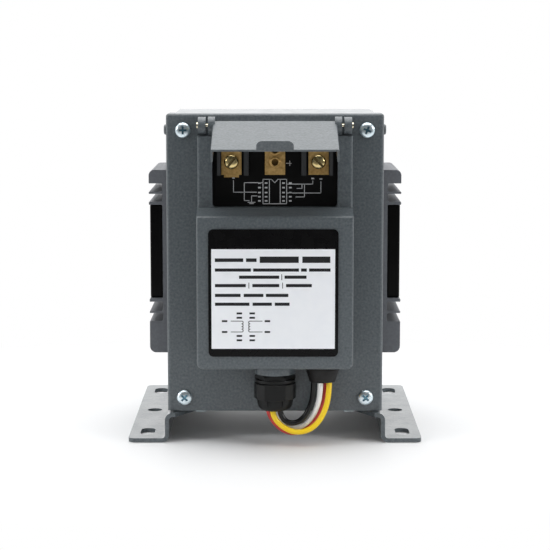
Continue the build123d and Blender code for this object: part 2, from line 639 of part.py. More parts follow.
def terminal_flap():
    """Hinged pan: plate with two side flanges, a finger tab at its free edge and two knuckles.

    It is drawn level about the pin and then tilted to the angle at which it stands open.
    """
    front = FLAP_BEHIND_PIN - FLAP_LENGTH
    under = FLAP_ABOVE_PIN - FLAP_FLANGE
    pan = block((-FLAP_X, FLAP_X), (front, FLAP_BEHIND_PIN), (under, FLAP_ABOVE_PIN))
    pan = fillet(pan.faces().sort_by(Axis.Z)[-1].edges().filter_by(Axis.Y), FLAP_ROUND)
    pan -= block((-FLAP_INNER_X, FLAP_INNER_X), (front - SPARE, FLAP_BEHIND_PIN + SPARE),
                 (under - SPARE, FLAP_ABOVE_PIN - FLAP_SHEET))
    pan -= block((-FLAP_X - SPARE, FLAP_X + SPARE), (0.0, FLAP_BEHIND_PIN + SPARE),
                 (under - SPARE, FLAP_ABOVE_PIN - FLAP_SHEET))
    tab = block((-TAB_WIDTH / 2, TAB_WIDTH / 2), (front, front + FLAP_SHEET),
                (FLAP_ABOVE_PIN - FLAP_SHEET, FLAP_ABOVE_PIN + TAB_HEIGHT))
    pan += fillet(tab.faces().sort_by(Axis.Z)[-1].edges().filter_by(Axis.Y), TAB_CORNER)
    width = KNUCKLE_OUTER - FLAP_INNER_X
    for start, direction in ((FLAP_INNER_X, (1, 0, 0)), (-FLAP_INNER_X, (-1, 0, 0))):
        pan += rod((start, 0, 0), direction, KNUCKLE_RADIUS, width)
    pan -= rod((-KNUCKLE_OUTER - SPARE, 0, 0), (1, 0, 0), PIN_RADIUS + PIN_RUNNING_FIT,
               2 * (KNUCKLE_OUTER + SPARE))
    return (Pos(0, HINGE_Y, HINGE_HEIGHT) * Rot(FLAP_TILT, 0, 0) * pan).solid()


def gland_body():
    """Threaded stem through the boss, a hexagon and a round flange under it, and a thread inside the nut."""
    flange = rod((0, GLAND_Y, COLLAR_FACE), (0, 0, 1), GLAND_RADIUS, COLLAR_HEIGHT - COLLAR_HEXAGON)
    body = fillet(flange.edges().filter_by(GeomType.CIRCLE), COLLAR_ROUND)
    seat = (0, GLAND_Y, BOSS_FACE - COLLAR_HEXAGON)
    corner_radius = COLLAR_ACROSS / 2 / math.cos(math.pi / 6)
    blank = rod(seat, (0, 0, 1), corner_radius, COLLAR_HEXAGON)
    blank = chamfer(blank.edges().sort_by(Axis.Z)[-1], corner_radius - COLLAR_ACROSS / 2)
    body += blank & hexagon_rod(seat, (0, 0, 1), COLLAR_ACROSS, COLLAR_HEXAGON)
    stem_top = HOUSING_BOTTOM + HOUSING_SHEET + GLAND_STEM_ABOVE
    body += rod((0, GLAND_Y, BOSS_FACE), (0, 0, 1), GLAND_STEM_RADIUS, stem_top - BOSS_FACE)
    body += rod((0, GLAND_Y, COLLAR_FACE - GLAND_THREAD_LENGTH), (0, 0, 1), GLAND_NUT_BORE - THREAD_FIT,
                GLAND_THREAD_LENGTH)
    body -= rod((0, GLAND_Y, SEAL_FACE), (0, 0, 1), GLAND_BORE_RADIUS, stem_top - SEAL_FACE + SPARE)
    return body.solid()


def gland_nut():
    """Dome nut: many-sided grip above, rounded and fluted nose with a mouth below."""
    nose_top = GLAND_NUT_TOP - GLAND_NUT_GRIP
    lip_radius = GLAND_MOUTH_RADIUS + GLAND_LIP
    nose = make_face(
        Polyline((lip_radius, GLAND_NUT_BOTTOM), (0, GLAND_NUT_BOTTOM), (0, GLAND_NUT_TOP),
                 (GLAND_NOSE_RADIUS, GLAND_NUT_TOP), (GLAND_NOSE_RADIUS, nose_top))
        + Spline((GLAND_NOSE_RADIUS, nose_top), (lip_radius, GLAND_NUT_BOTTOM),
                 tangents=((0, -1), (-1, -GLAND_NOSE_SLOPE)))
    )
    nut = Pos(0, GLAND_Y, 0) * revolve(Plane.XZ * nose, Axis.Z)
    for index in range(GLAND_FLUTES):
        angle = 2 * math.pi * (index + 1 / 2) / GLAND_FLUTES
        foot = (GLAND_NOSE_RADIUS * math.cos(angle), GLAND_Y + GLAND_NOSE_RADIUS * math.sin(angle),
                GLAND_NUT_BOTTOM - SPARE)
        nut -= rod(foot, (0, 0, 1), GLAND_FLUTE_RADIUS, GLAND_NUT_HEIGHT + 2 * SPARE)
    outline = RegularPolygon(GLAND_GRIP_RADIUS, GLAND_GRIP_SIDES)
    grip = extrude(Pos(0, GLAND_Y, nose_top) * outline, GLAND_NUT_GRIP)
    ends = grip.faces().sort_by(Axis.Z)
    nut += chamfer(ends[0].edges() + ends[-1].edges(), GLAND_GRIP_BEVEL)
    nut -= rod((0, GLAND_Y, SEAL_FACE), (0, 0, 1), GLAND_NUT_BORE, GLAND_NUT_TOP - SEAL_FACE + SPARE)
    nut -= rod((0, GLAND_Y, GLAND_NUT_BOTTOM - SPARE), (0, 0, 1), GLAND_MOUTH_RADIUS, SEAL_INSET + 2 * SPARE)
    return nut.solid()


def gland_seal():
    """Rubber plug clamped between the nut and the body."""
    top = COLLAR_FACE - GLAND_THREAD_LENGTH
    return rod((0, GLAND_Y, SEAL_FACE), (0, 0, 1), GLAND_NUT_BORE - GLAND_FIT, top - SEAL_FACE).solid()


def gland_locknut():
    """Hexagon nut that holds the gland inside the wiring box."""
    base = (0, GLAND_Y, HOUSING_BOTTOM + HOUSING_SHEET)
    nut = hexagon_rod(base, (0, 0, 1), LOCKNUT_ACROSS, LOCKNUT_HEIGHT)
    return (nut - rod(base, (0, 0, 1), GLAND_STEM_RADIUS + THREAD_FIT, LOCKNUT_HEIGHT)).solid()


def wire_grommet():
    """Tapered bushing under the wiring box, with a neck through its floor and a head inside."""
    face = HOUSING_BOTTOM - GROMMET_DROP
    floor = HOUSING_BOTTOM + HOUSING_SHEET
    rim = HOUSING_BOTTOM - GROMMET_RIM
    outline = make_face(Polyline(
        (0, face), (GROMMET_BOTTOM_RADIUS, face), (GROMMET_TOP_RADIUS - GROMMET_RIM_STEP, rim),
        (GROMMET_TOP_RADIUS, rim), (GROMMET_TOP_RADIUS, HOUSING_BOTTOM),
        (GROMMET_NECK_RADIUS, HOUSING_BOTTOM), (GROMMET_NECK_RADIUS, floor), (GROMMET_TOP_RADIUS, floor),
        (GROMMET_NECK_RADIUS, floor + GROMMET_HEAD_HEIGHT), (0, floor + GROMMET_HEAD_HEIGHT), close=True,
    ))
    return (Pos(GROMMET_X, GLAND_Y, 0) * revolve(Plane.XZ * outline, Axis.Z)).solid()


def lead_wire(name):
    """Round wire along its route: straight runs joined by arcs as large as the runs allow."""
    points = [Vector(x, ahead(depth), z) for x, depth, z in LEADS[name]]
    radii = []
    for before, corner, after in zip(points, points[1:], points[2:]):
        turn = (corner - before).get_angle(after - corner)
        shorter = min((corner - before).length, (after - corner).length)
        radii.append(WIRE_ARC_SHARE * shorter / math.tan(math.radians(turn / 2)))
    path = FilletPolyline(*points, radius=radii)
    start = Plane(origin=points[0], z_dir=points[1] - points[0])
    wire = sweep(start * Circle(WIRE_RADIUS), path=path).solid()
    share = wire.volume / (math.pi * WIRE_RADIUS ** 2 * path.length)
    print(name, "length", round(path.length, 1), "volume share", round(share, 4),
          "radii", [round(radius, 1) for radius in radii])
    return wire


def heat_sink():
    """Right-hand extrusion: web with a window, two end blocks, and four fins with rounded roots."""
    bars = [(0.0, SINK_BOTTOM_BLOCK), (SINK_HEIGHT - SINK_TOP_BLOCK, SINK_TOP_BLOCK)]
    for reach, thickness in (SINK_LOW_FIN, SINK_LOW_CHANNEL_FIN):
        bars.append((reach - thickness, thickness))
    for reach, thickness in (SINK_HIGH_FIN, SINK_HIGH_CHANNEL_FIN):
        bars.append((SINK_HEIGHT - reach, thickness))
    profile = Pos(CASE_X + SINK_WEB / 2, SINK_BOTTOM + SINK_HEIGHT / 2) * Rectangle(SINK_WEB, SINK_HEIGHT)
    for low, thickness in bars:
        centre = Pos(CASE_X + SINK_REACH / 2, SINK_BOTTOM + low + thickness / 2)
        profile += centre * Rectangle(SINK_REACH, thickness)
    roots = profile.vertices().filter_by_position(Axis.X, SINK_WEB_X - THREAD_FIT, SINK_WEB_X + THREAD_FIT)
    profile = fillet(roots, SINK_ROOT)
    tips = profile.vertices().filter_by_position(Axis.X, SINK_TIP_X - THREAD_FIT, SINK_TIP_X + THREAD_FIT)
    profile = fillet(tips.sort_by(Axis.Y)[1:-1], SINK_TIP)
    profile = fillet(profile.vertices().sort_by_distance((SINK_TIP_X, SINK_BOTTOM))[0], SINK_BOTTOM_CORNER)
    profile = fillet(profile.vertices().sort_by_distance((SINK_TIP_X, SINK_TOP))[0], SINK_TOP_CORNER)
    sink = Pos(0, SINK_FRONT + SINK_LENGTH, 0) * extrude(Plane.XZ * profile, SINK_LENGTH)
    sink -= side_window((CASE_X - SPARE, SINK_WEB_X + SPARE))
    for y in SINK_SCREW_YS:
        for z in SINK_SCREW_ZS:
            sink -= rod((CASE_INNER_X, y, z), (1, 0, 0), SINK_SCREW_RADIUS + THREAD_FIT, SINK_SCREW_LENGTH)
    return sink.solid()


def sink_screws():
    """Eight screws from inside the case into the end blocks of the heat sinks."""
    screws = []
    for y in SINK_SCREW_YS:
        for z in SINK_SCREW_ZS:
            screw = rod((CASE_INNER_X, y, z), (1, 0, 0), SINK_SCREW_RADIUS, SINK_SCREW_LENGTH)
            screw += rod((CASE_INNER_X, y, z), (-1, 0, 0), SINK_SCREW_HEAD_RADIUS, SINK_SCREW_HEAD_HEIGHT)
            screws += [screw.solid(), mirror(screw, about=Plane.YZ).solid()]
    return Compound(screws)


def potting():
    """Cast compound round the core and coil, which locks the heat sinks on through the windows."""
    front = SINK_MID_Y - LIMB_Y - COIL_EDGE - POTTING_COVER
    rear = CASE_REAR - CASE_SHEET
    coil_x = LIMB_X + COIL_EDGE
    cast = rounded_block((-CASE_INNER_X, CASE_INNER_X), (front, rear), (CASE_FLOOR, CASE_CEILING),
                         CASE_BEND - CASE_SHEET, Axis.Y)
    tail_x = coil_x + POTTING_TAIL_WALL
    cast += block((-tail_x, tail_x), (rear - SPARE, REAR_FACE + BELL_DEPTH - COVER_SHEET - POTTING_TAIL_GAP),
                  (COIL_LOW - POTTING_TAIL_WALL, COIL_HIGH + POTTING_TAIL_WALL))
    cast += side_window((-SINK_WEB_X - POTTING_HEAD_ROUND, SINK_WEB_X + POTTING_HEAD_ROUND))
    head = block((SINK_WEB_X, SINK_TIP_X - POTTING_HEAD_SHORT),
                 (SINK_FRONT + POTTING_HEAD_SETBACK, SINK_FRONT + SINK_LENGTH - POTTING_HEAD_SETBACK),
                 (CHANNEL_LOW, CHANNEL_HIGH))
    head = fillet(head.edges(), POTTING_HEAD_ROUND)
    cast += head
    cast += mirror(head, about=Plane.YZ)

    cast -= core_box()
    cast -= block((-coil_x, coil_x), (SINK_MID_Y - LIMB_Y - COIL_EDGE, SINK_MID_Y + LIMB_Y + COIL_EDGE),
                  (COIL_LOW, COIL_HIGH))
    for x, y, z in cover_screw_points(REAR_FACE):
        cast -= rod((x, y, z), (0, -1, 0), SCREW_RADIUS + HOLE_CLEARANCE, SCREW_LENGTH + HOLE_CLEARANCE)
    for y in SINK_SCREW_YS:
        for z in SINK_SCREW_ZS:
            for side in (-1, 1):
                cast -= rod((side * CASE_INNER_X, y, z), (-side, 0, 0),
                            SINK_SCREW_HEAD_RADIUS + HOLE_CLEARANCE, SINK_SCREW_HEAD_HEIGHT + HOLE_CLEARANCE)
    nut_room = FOOT_BOLT_HEAD / 2 / math.cos(math.pi / 6) + HOLE_CLEARANCE
    for x in (-FOOT_BOLT_X, FOOT_BOLT_X):
        for y in FOOT_BOLT_YS:
            cast -= rod((x, y, CASE_FLOOR - SPARE), (0, 0, 1), nut_room,
                        SPARE + FOOT_NUT_HEIGHT + FOOT_BOLT_TIP + HOLE_CLEARANCE)
    return cast.solid()


def core_box():
    """Outer box of the laminated core."""
    return block((-CORE_X, CORE_X), (SINK_MID_Y - LIMB_Y, SINK_MID_Y + LIMB_Y),
                 (CORE_Z - CORE_HEIGHT / 2, CORE_Z + CORE_HEIGHT / 2))


def core_parts():
    """E stack with three limbs and the I stack that closes it."""
    stack = (SINK_MID_Y - LIMB_Y, SINK_MID_Y + LIMB_Y)
    joint = CORE_Z + CORE_HEIGHT / 2 - CORE_LIMB
    e_stack = core_box() - block((-CORE_X - SPARE, CORE_X + SPARE), (stack[0] - SPARE, stack[1] + SPARE),
                                 (joint, joint + CORE_LIMB + SPARE))
    gap = (CORE_Z - CORE_HEIGHT / 2 + CORE_LIMB, joint + SPARE)
    for side in (-1, 1):
        near, far = side * LIMB_X, side * (CORE_X - CORE_LIMB)
        e_stack -= block((min(near, far), max(near, far)), (stack[0] - SPARE, stack[1] + SPARE), gap)
    i_stack = block((-CORE_X, CORE_X), stack, (joint, joint + CORE_LIMB))
    return e_stack.solid(), i_stack.solid()


def ring(start, build, low, high):
    """Rectangular ring round the middle limb, from a start distance off the limb outwards by its build."""

    def outline(distance):
        corner = BOBBIN_CORNER + distance
        return RectangleRounded(2 * (LIMB_X + distance), 2 * (LIMB_Y + distance), corner)

    base = Plane(origin=(0, SINK_MID_Y, low))
    return extrude(base * (outline(start + build) - outline(start)), high - low)


def coil_bobbin():
    """Insulating former: a tube with three flanges."""
    former = ring(COIL_FIT, BOBBIN_WALL, COIL_LOW, COIL_HIGH)
    for low in flange_places():
        former += ring(PRIMARY_START - BOBBIN_WALL / 2, COIL_EDGE - PRIMARY_START + BOBBIN_WALL / 2, low,
                       low + BOBBIN_WALL)
    return former.solid()


def flange_places():
    """Lower faces of the bobbin's three flanges."""
    return COIL_LOW, (COIL_LOW + COIL_HIGH - BOBBIN_WALL) / 2, COIL_HIGH - BOBBIN_WALL


def winding(start, build, half):
    """One half of a winding, between two flanges of the bobbin."""
    places = flange_places()
    return ring(start, build, places[half] + BOBBIN_WALL, places[half + 1]).solid()


def foot():
    """Right-hand foot: a Z bent from one sheet, with a round hole and two slots in its outer flange.

    The inner flange, under the case, has its two corners cut off at a slant.
    """
    inner = FOOT_UPRIGHT_X + FOOT_SHEET - FOOT_INNER_FLANGE
    outer = FOOT_UPRIGHT_X + FOOT_SHEET
    corners = {
        (FOOT_OUTER_X, 0.0): 0.0, (FOOT_OUTER_X, FOOT_SHEET): 0.0, (outer, FOOT_SHEET): FOOT_BEND,
        (outer, FOOT_HEIGHT): FOOT_BEND + FOOT_SHEET, (inner, FOOT_HEIGHT): 0.0,
        (inner, FOOT_HEIGHT - FOOT_SHEET): 0.0, (FOOT_UPRIGHT_X, FOOT_HEIGHT - FOOT_SHEET): FOOT_BEND,
        (FOOT_UPRIGHT_X, 0.0): FOOT_BEND + FOOT_SHEET,
    }
    profile = make_face(Polyline(*corners, close=True))
    for point, radius in corners.items():
        if radius:
            profile = fillet(profile.vertices().sort_by_distance(point)[0], radius)
    bracket = extrude(Plane.XZ * profile, FOOT_LENGTH / 2, both=True)
    outer_corners = bracket.faces().sort_by(Axis.X)[-1].edges().filter_by(Axis.Z)
    bracket = fillet(outer_corners, FOOT_CORNER)
    bracket -= rod((FOOT_HOLE_X, 0, -SPARE), (0, 0, 1), FOOT_HOLE_RADIUS, FOOT_SHEET + 2 * SPARE)
    for y in (-FOOT_SLOT_PITCH, FOOT_SLOT_PITCH):
        slot = SlotOverall(FOOT_SLOT_LENGTH, FOOT_SLOT_WIDTH, rotation=90)
        bracket -= extrude(Pos(FOOT_HOLE_X, y, -SPARE) * slot, FOOT_SHEET + 2 * SPARE)
    for end in (-1, 1):
        edge = end * FOOT_LENGTH / 2
        corner = make_face(Polyline((inner, edge), (inner + FOOT_CUT_WIDTH, edge),
                                    (inner, edge - end * FOOT_CUT_LENGTH), close=True))
        bracket -= extrude(Pos(0, 0, FOOT_HEIGHT - FOOT_SHEET - SPARE) * corner, FOOT_SHEET + 2 * SPARE)
    for y in FOOT_BOLT_YS:
        bracket -= rod((FOOT_BOLT_X, y, 0), (0, 0, 1), FOOT_BOLT_RADIUS + HOLE_CLEARANCE,
                       FOOT_HEIGHT + SPARE)
    return bracket.solid()


def foot_bolts():
    """Four hexagon bolts up through the feet and the case floor."""
    seat = FOOT_HEIGHT - FOOT_SHEET
    bolts = []
    for x in (-FOOT_BOLT_X, FOOT_BOLT_X):
        for y in FOOT_BOLT_YS:
            bolt = hexagon_rod((x, y, seat - FOOT_BOLT_HEAD_HEIGHT), (0, 0, 1), FOOT_BOLT_HEAD,
                               FOOT_BOLT_HEAD_HEIGHT)
            bolt += rod((x, y, seat), (0, 0, 1), FOOT_BOLT_RADIUS,
                        CASE_FLOOR + FOOT_NUT_HEIGHT + FOOT_BOLT_TIP - seat)
            bolts.append(bolt.solid())
    return Compound(bolts)


def foot_nuts():
    """Four hexagon nuts on the case floor."""
    nuts = []
    for x in (-FOOT_BOLT_X, FOOT_BOLT_X):
        for y in FOOT_BOLT_YS:
            nut = hexagon_rod((x, y, CASE_FLOOR), (0, 0, 1), FOOT_BOLT_HEAD, FOOT_NUT_HEIGHT)
            nut -= rod((x, y, CASE_FLOOR), (0, 0, 1), FOOT_BOLT_RADIUS + THREAD_FIT, FOOT_NUT_HEIGHT)
            nuts.append(nut.solid())
    return Compound(nuts)


def build_parts():
    """Every node by its name."""
    right_sink = heat_sink()
    right_foot = foot()
    e_stack, i_stack = core_parts()
    parts = {
        "case_wrapper": case_wrapper(),
        "front_cover": front_cover(),
        "rear_cover": rear_cover(),
        "cover_screws": cover_screws(),
        "side_screws": side_screws(),
        "terminal_housing": terminal_housing(),
        "label_plate": label_plate(),
        "terminal_block": terminal_block(),
        "terminal_bar_left": terminal_bar(BAR_XS[0], tongue=True, rim=False),
        "terminal_bar_middle": terminal_bar(BAR_XS[1], tongue=False, rim=True),
        "terminal_bar_right": terminal_bar(BAR_XS[2], tongue=False, rim=False),
        "terminal_screws": terminal_screws(),
        "hinge_lugs": hinge_lugs(),
        "hinge_pins": hinge_pins(),
        "terminal_flap": terminal_flap(),
        "gland_body": gland_body(),
        "gland_nut": gland_nut(),
        "gland_seal": gland_seal(),
        "gland_locknut": gland_locknut(),
        "wire_grommet": wire_grommet(),
        "heat_sink_right": right_sink,
        "heat_sink_left": mirror(right_sink, about=Plane.YZ),
        "sink_screws": sink_screws(),
        "potting": potting(),
        "core_e_stack": e_stack,
        "core_i_stack": i_stack,
        "coil_bobbin": coil_bobbin(),
        "primary_lower": winding(PRIMARY_START, PRIMARY_BUILD, 0),
        "primary_upper": winding(PRIMARY_START, PRIMARY_BUILD, 1),
        "wrap_lower": winding(WRAP_START, WRAP_BUILD, 0),
        "wrap_upper": winding(WRAP_START, WRAP_BUILD, 1),
        "secondary_lower": winding(SECONDARY_START, SECONDARY_BUILD, 0),
        "secondary_upper": winding(SECONDARY_START, SECONDARY_BUILD, 1),
        "foot_right": right_foot,
        "foot_left": mirror(right_foot, about=Plane.YZ),
        "foot_bolts": foot_bolts(),
        "foot_nuts": foot_nuts(),
    }
    for name in LEADS:
        parts[name] = lead_wire(name)
    return parts


os.makedirs("parts", exist_ok=True)
for name, shape in build_parts().items():
    export_step(shape, f"parts/{name}.step")
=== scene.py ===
# %% [markdown]
# This lesson dresses a potted transformer: a painted steel case on two feet, with a wiring box, lead wires
# and a hinged flap over three brass terminals. The solids come from the frame at their real size and
# place, in metres, and most of them only need a finish. A few finer pieces are added, and each rides on a
# body of the frame, so that it moves when that body does.

import math

import bmesh
import bpy
from mathutils import Matrix, Vector


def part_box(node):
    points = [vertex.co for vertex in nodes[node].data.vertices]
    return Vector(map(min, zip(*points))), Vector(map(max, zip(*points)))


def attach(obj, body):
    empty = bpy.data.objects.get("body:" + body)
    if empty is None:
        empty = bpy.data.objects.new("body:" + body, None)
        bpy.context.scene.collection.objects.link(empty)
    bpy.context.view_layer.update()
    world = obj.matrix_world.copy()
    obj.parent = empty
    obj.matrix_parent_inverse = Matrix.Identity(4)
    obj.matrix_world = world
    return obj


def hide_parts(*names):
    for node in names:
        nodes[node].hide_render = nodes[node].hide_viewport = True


MM = 0.001

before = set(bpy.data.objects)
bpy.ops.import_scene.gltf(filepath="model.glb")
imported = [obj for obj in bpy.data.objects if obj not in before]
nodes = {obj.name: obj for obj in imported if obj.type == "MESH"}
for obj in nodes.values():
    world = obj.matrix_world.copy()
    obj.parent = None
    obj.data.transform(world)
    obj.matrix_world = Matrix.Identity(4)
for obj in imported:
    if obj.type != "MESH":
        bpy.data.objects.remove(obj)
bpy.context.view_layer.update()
scene = bpy.context.scene
scene.view_settings.view_transform = "Standard"
panel_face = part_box("front_cover")[0].y
print("front panel at y =", round(panel_face, 4))

# %% [markdown]
# The camera comes first, because every later choice is judged through it. It could be set by eye, but here
# its lens, height and tilt were worked out from the object's straight edges, so that the solids fall on
# the picture. It stands far off and a little above the middle of the panel. Its lens is kept as a focal
# length in pixels of a square picture, which turns straight into millimetres on a 36 mm sensor.

# %% Camera
PICTURE_SIDE = 550
FOCAL_PIXELS = 1800
SENSOR_WIDTH = 36.0
CLIP_START = 10 * MM
CAMERA_AHEAD = 866.8 * MM
CAMERA_HEIGHT = 193.97 * MM
CAMERA_PITCH = math.radians(7.36)

camera = bpy.data.objects.new("camera", bpy.data.cameras.new("camera"))
camera.data.sensor_width = SENSOR_WIDTH
camera.data.lens = FOCAL_PIXELS * SENSOR_WIDTH / PICTURE_SIDE
camera.data.clip_start = CLIP_START
camera.location = (0, panel_face - CAMERA_AHEAD, CAMERA_HEIGHT)
camera.rotation_euler = (math.pi / 2 - CAMERA_PITCH, 0, 0)
scene.collection.objects.link(camera)
scene.camera = camera
print("camera lens", round(camera.data.lens, 1), "mm")

# %% [markdown]
# Four lead wires leave the grommet, loop below the wiring box and go into the gland. A wire could be a
# mesh that is swept along a line, but a NURBS curve with a round bevel bends more evenly. Its control
# points are the solid's own route, drawn in by up to two millimetres to follow the picture: x, distance
# ahead of the panel and z, in millimetres. A quadratic spline that is pinned at both ends gives the
# springy loop of hook-up wire. The bevel has a depth of one, so each point's radius is the wire's radius
# and also its share of the bounds.

# %% Lead wires
WIRE_DIAMETER = 2.7 * MM
BEVEL_STEPS = 6
LENGTH_STEPS = 16
LEAD_ROUTES = {
    "lead_black": [
        (18.7, 13.5, 32.0), (18.6, 13.5, 26.6), (17.4, 13.7, 20.8), (14.6, 13.9, 15.0), (11.0, 14.0, 12.0),
        (7.2, 14.0, 11.6), (4.5, 14.0, 13.2), (2.9, 13.9, 15.8), (2.5, 13.9, 18.0), (2.5, 13.9, 20.3),
    ],
    "lead_white": [
        (21.9, 13.8, 32.0), (21.8, 13.8, 26.4), (20.4, 13.2, 19.6), (17.3, 12.0, 13.2), (12.8, 11.3, 9.4),
        (8.2, 11.0, 9.2), (4.6, 10.9, 11.6), (2.2, 10.8, 15.1), (1.5, 10.8, 17.9), (1.5, 10.8, 20.3),
    ],
    "lead_red": [
        (24.2, 10.4, 32.0), (23.8, 10.4, 26.0), (22.0, 9.6, 18.6), (19.0, 8.8, 12.0), (14.6, 8.3, 7.3),
        (9.0, 8.2, 5.4), (3.3, 8.4, 7.4), (-0.4, 8.9, 11.2), (-2.4, 9.6, 14.8), (-3.1, 10.0, 17.8),
        (-3.1, 10.0, 20.3),
    ],
    "lead_yellow": [
        (26.1, 13.6, 32.0), (26.0, 13.6, 26.4), (24.8, 13.8, 19.8), (21.7, 14.1, 12.9), (16.5, 14.2, 8.1),
        (9.8, 14.2, 7.0), (3.8, 14.2, 9.7), (0.3, 14.2, 13.4), (-1.2, 14.2, 17.0), (-1.2, 14.2, 20.3),
    ],
}


def lead_curve(name, route):
    """A round wire along its route, as one NURBS curve that stands for the solid of the same name."""
    points = [Vector((x * MM, panel_face - ahead * MM, z * MM)) for x, ahead, z in route]
    data = bpy.data.curves.new(name + "_wire", "CURVE")
    data.dimensions = "3D"
    data.bevel_depth = 1.0
    data.bevel_resolution = BEVEL_STEPS
    data.resolution_u = LENGTH_STEPS
    data.use_fill_caps = True
    spline = data.splines.new("NURBS")
    spline.points.add(len(points) - 1)
    for control, point in zip(spline.points, points):
        control.co = (*point, 1.0)
        control.radius = WIRE_DIAMETER / 2
    spline.order_u = 3
    spline.use_endpoint_u = True
    wire = bpy.data.objects.new(name + "_wire", data)
    scene.collection.objects.link(wire)
    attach(wire, "case")
    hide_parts(name)
    return wire


leads = {name: lead_curve(name, route) for name, route in LEAD_ROUTES.items()}

# %% [markdown]
# Every finish below is a node material, because a pattern that is made from nodes fits any shape and needs
# no picture. One helper turns an sRGB hex colour into the linear numbers that shaders use, and one adds a
# node with its settings and links. A pattern's scale follows from a real size: a noise texture's scale is
# the number of its cells in a metre.

# %% Colours and nodes


def colour(hex_code):
    """Linear RGBA of an sRGB hex colour, by the curve of the sRGB standard."""
    values = [int(hex_code[i:i + 2], 16) / 255 for i in (1, 3, 5)]
    return (*[v / 12.92 if v <= 0.04045 else ((v + 0.055) / 1.055) ** 2.4 for v in values], 1.0)


def cells(size_mm):
    """Texture scale at which one cell has this size in millimetres."""
    return 1.0 / (size_mm * MM)


def add(tree, kind, inputs=None, **settings):
    """A node with its settings, and with values or links on its inputs."""
    node = tree.nodes.new(kind)
    for name, value in settings.items():
        setattr(node, name, value)
    for name, value in (inputs or {}).items():
        if isinstance(value, bpy.types.NodeSocket):
            tree.links.new(value, node.inputs[name])
        else:
            node.inputs[name].default_value = value
    return node


def new_material(name):
    """An empty node material, its shader and the object coordinates that its patterns read."""
    material = bpy.data.materials.new(name)
    material.use_nodes = True
    tree = material.node_tree
    tree.nodes.clear()
    shader = add(tree, "ShaderNodeBsdfPrincipled")
    add(tree, "ShaderNodeOutputMaterial", {"Surface": shader.outputs["BSDF"]})
    place = add(tree, "ShaderNodeTexCoord").outputs["Object"]
    return material, tree, shader, place


print("half grey is", round(colour("#808080")[0], 3), "in linear light")
print("a pattern of 2 mm has", cells(2.0), "cells in a metre")

# %% [markdown]
# Real surfaces are never quite even, so three patterns break up each finish: a colour that drifts, a
# roughness that drifts and a fine bump. They could be painted by hand, but noise on Object coordinates
# gives them at a known size and stays with the piece when it moves. A Mix node keeps sockets for each kind
# of value, and those for colours are known by number.

# %% Patterns
COLOUR_A = 6
COLOUR_B = 7
COLOUR_RESULT = 2
NOISE_LOW = 0.3
NOISE_HIGH = 0.7


def mottle(tree, place, size_mm, low_hex, high_hex, detail=2.0):
    """A colour that drifts between two tones over patches of a size."""
    noise = add(tree, "ShaderNodeTexNoise", {"Vector": place, "Scale": cells(size_mm), "Detail": detail})
    tones = {"Factor": noise.outputs["Fac"], COLOUR_A: colour(low_hex), COLOUR_B: colour(high_hex)}
    return add(tree, "ShaderNodeMix", tones, data_type="RGBA").outputs[COLOUR_RESULT]


def patchy(tree, place, size_mm, low, high):
    """A roughness that drifts between two values over patches of a size."""
    noise = add(tree, "ShaderNodeTexNoise", {"Vector": place, "Scale": cells(size_mm), "Detail": 1.0})
    span = {"Value": noise.outputs["Fac"], "From Min": NOISE_LOW, "From Max": NOISE_HIGH, "To Min": low,
            "To Max": high}
    return add(tree, "ShaderNodeMapRange", span).outputs["Result"]


def grain(tree, place, size_mm, height_mm, strength):
    """A bumpy normal from a noise of a grain size and height."""
    noise = add(tree, "ShaderNodeTexNoise", {"Vector": place, "Scale": cells(size_mm), "Detail": 2.0})
    relief = {"Height": noise.outputs["Fac"], "Strength": strength, "Distance": height_mm * MM}
    return add(tree, "ShaderNodeBump", relief).outputs["Normal"]


def connect(tree, shader, tone, gloss, bump):
    """Link a colour, a roughness and a normal to the shader."""
    tree.links.new(gloss, shader.inputs["Roughness"])
    tree.links.new(tone, shader.inputs["Base Color"])
    tree.links.new(bump, shader.inputs["Normal"])


print("noise is read from", NOISE_LOW, "to", NOISE_HIGH)

# %% [markdown]
# The case, covers, flap and feet are sheet steel with a grey polyester powder coat. The powder melts into
# a skin with a fine orange peel, so it looks even from afar and finely broken in a highlight. A plain grey
# with a gloss would look like wet paint, so the bump carries the peel, and the tone carries it as a dark and
# pale speckle that is partly the coat's own uneven colour and partly painted shade and light of the peel.
# The real peel is about half a millimetre across, and here it is drawn at one to two millimetres so that it
# still shows in the picture. The two small screws in the sides of the front cover were painted over with it.

# %% Powder-coated steel
POLYMER_IOR = 1.5


def powder_coated_steel():
    material, tree, shader, place = new_material("powder_coated_steel_grey")
    shader.inputs["IOR"].default_value = POLYMER_IOR
    gloss = patchy(tree, place, size_mm=7.0, low=0.28, high=0.34)
    # The speckle in this tone is partly the coat's own colour and partly painted shade and light of the
    # peel.
    tone = mottle(tree, place, size_mm=1.1, low_hex="#363D41", high_hex="#6E7579", detail=3.0)
    peel = grain(tree, place, size_mm=1.4, height_mm=0.12, strength=1.0)
    connect(tree, shader, tone, gloss, peel)
    return material


def dress(material, *names):
    """Put one material on the solids of these names."""
    for name in names:
        nodes[name].data.materials.clear()
        nodes[name].data.materials.append(material)


# Powder coat over steel: a satin mid grey with a fine dark and pale speckle, partly painted shade and light
# of the peel.
PAINT = powder_coated_steel()
dress(PAINT, "case_wrapper", "front_cover", "rear_cover", "side_screws", "terminal_housing", "hinge_lugs",
      "terminal_flap", "foot_left", "foot_right")
print("paint:", PAINT.name)

# %% [markdown]
# The heat sinks are extruded aluminium under a thinner coat of grey, so the die lines of the extrusion
# still run along the fins. Lines could be cut into a mesh, but they are shallower than a hair. A noise
# that is stretched along Y draws them in tone, roughness and bump at once.

# %% Painted extruded aluminium
DIE_LINE_STRETCH = (1.0, 0.02, 1.0)
EXTRUSION_SPECULAR = 0.35


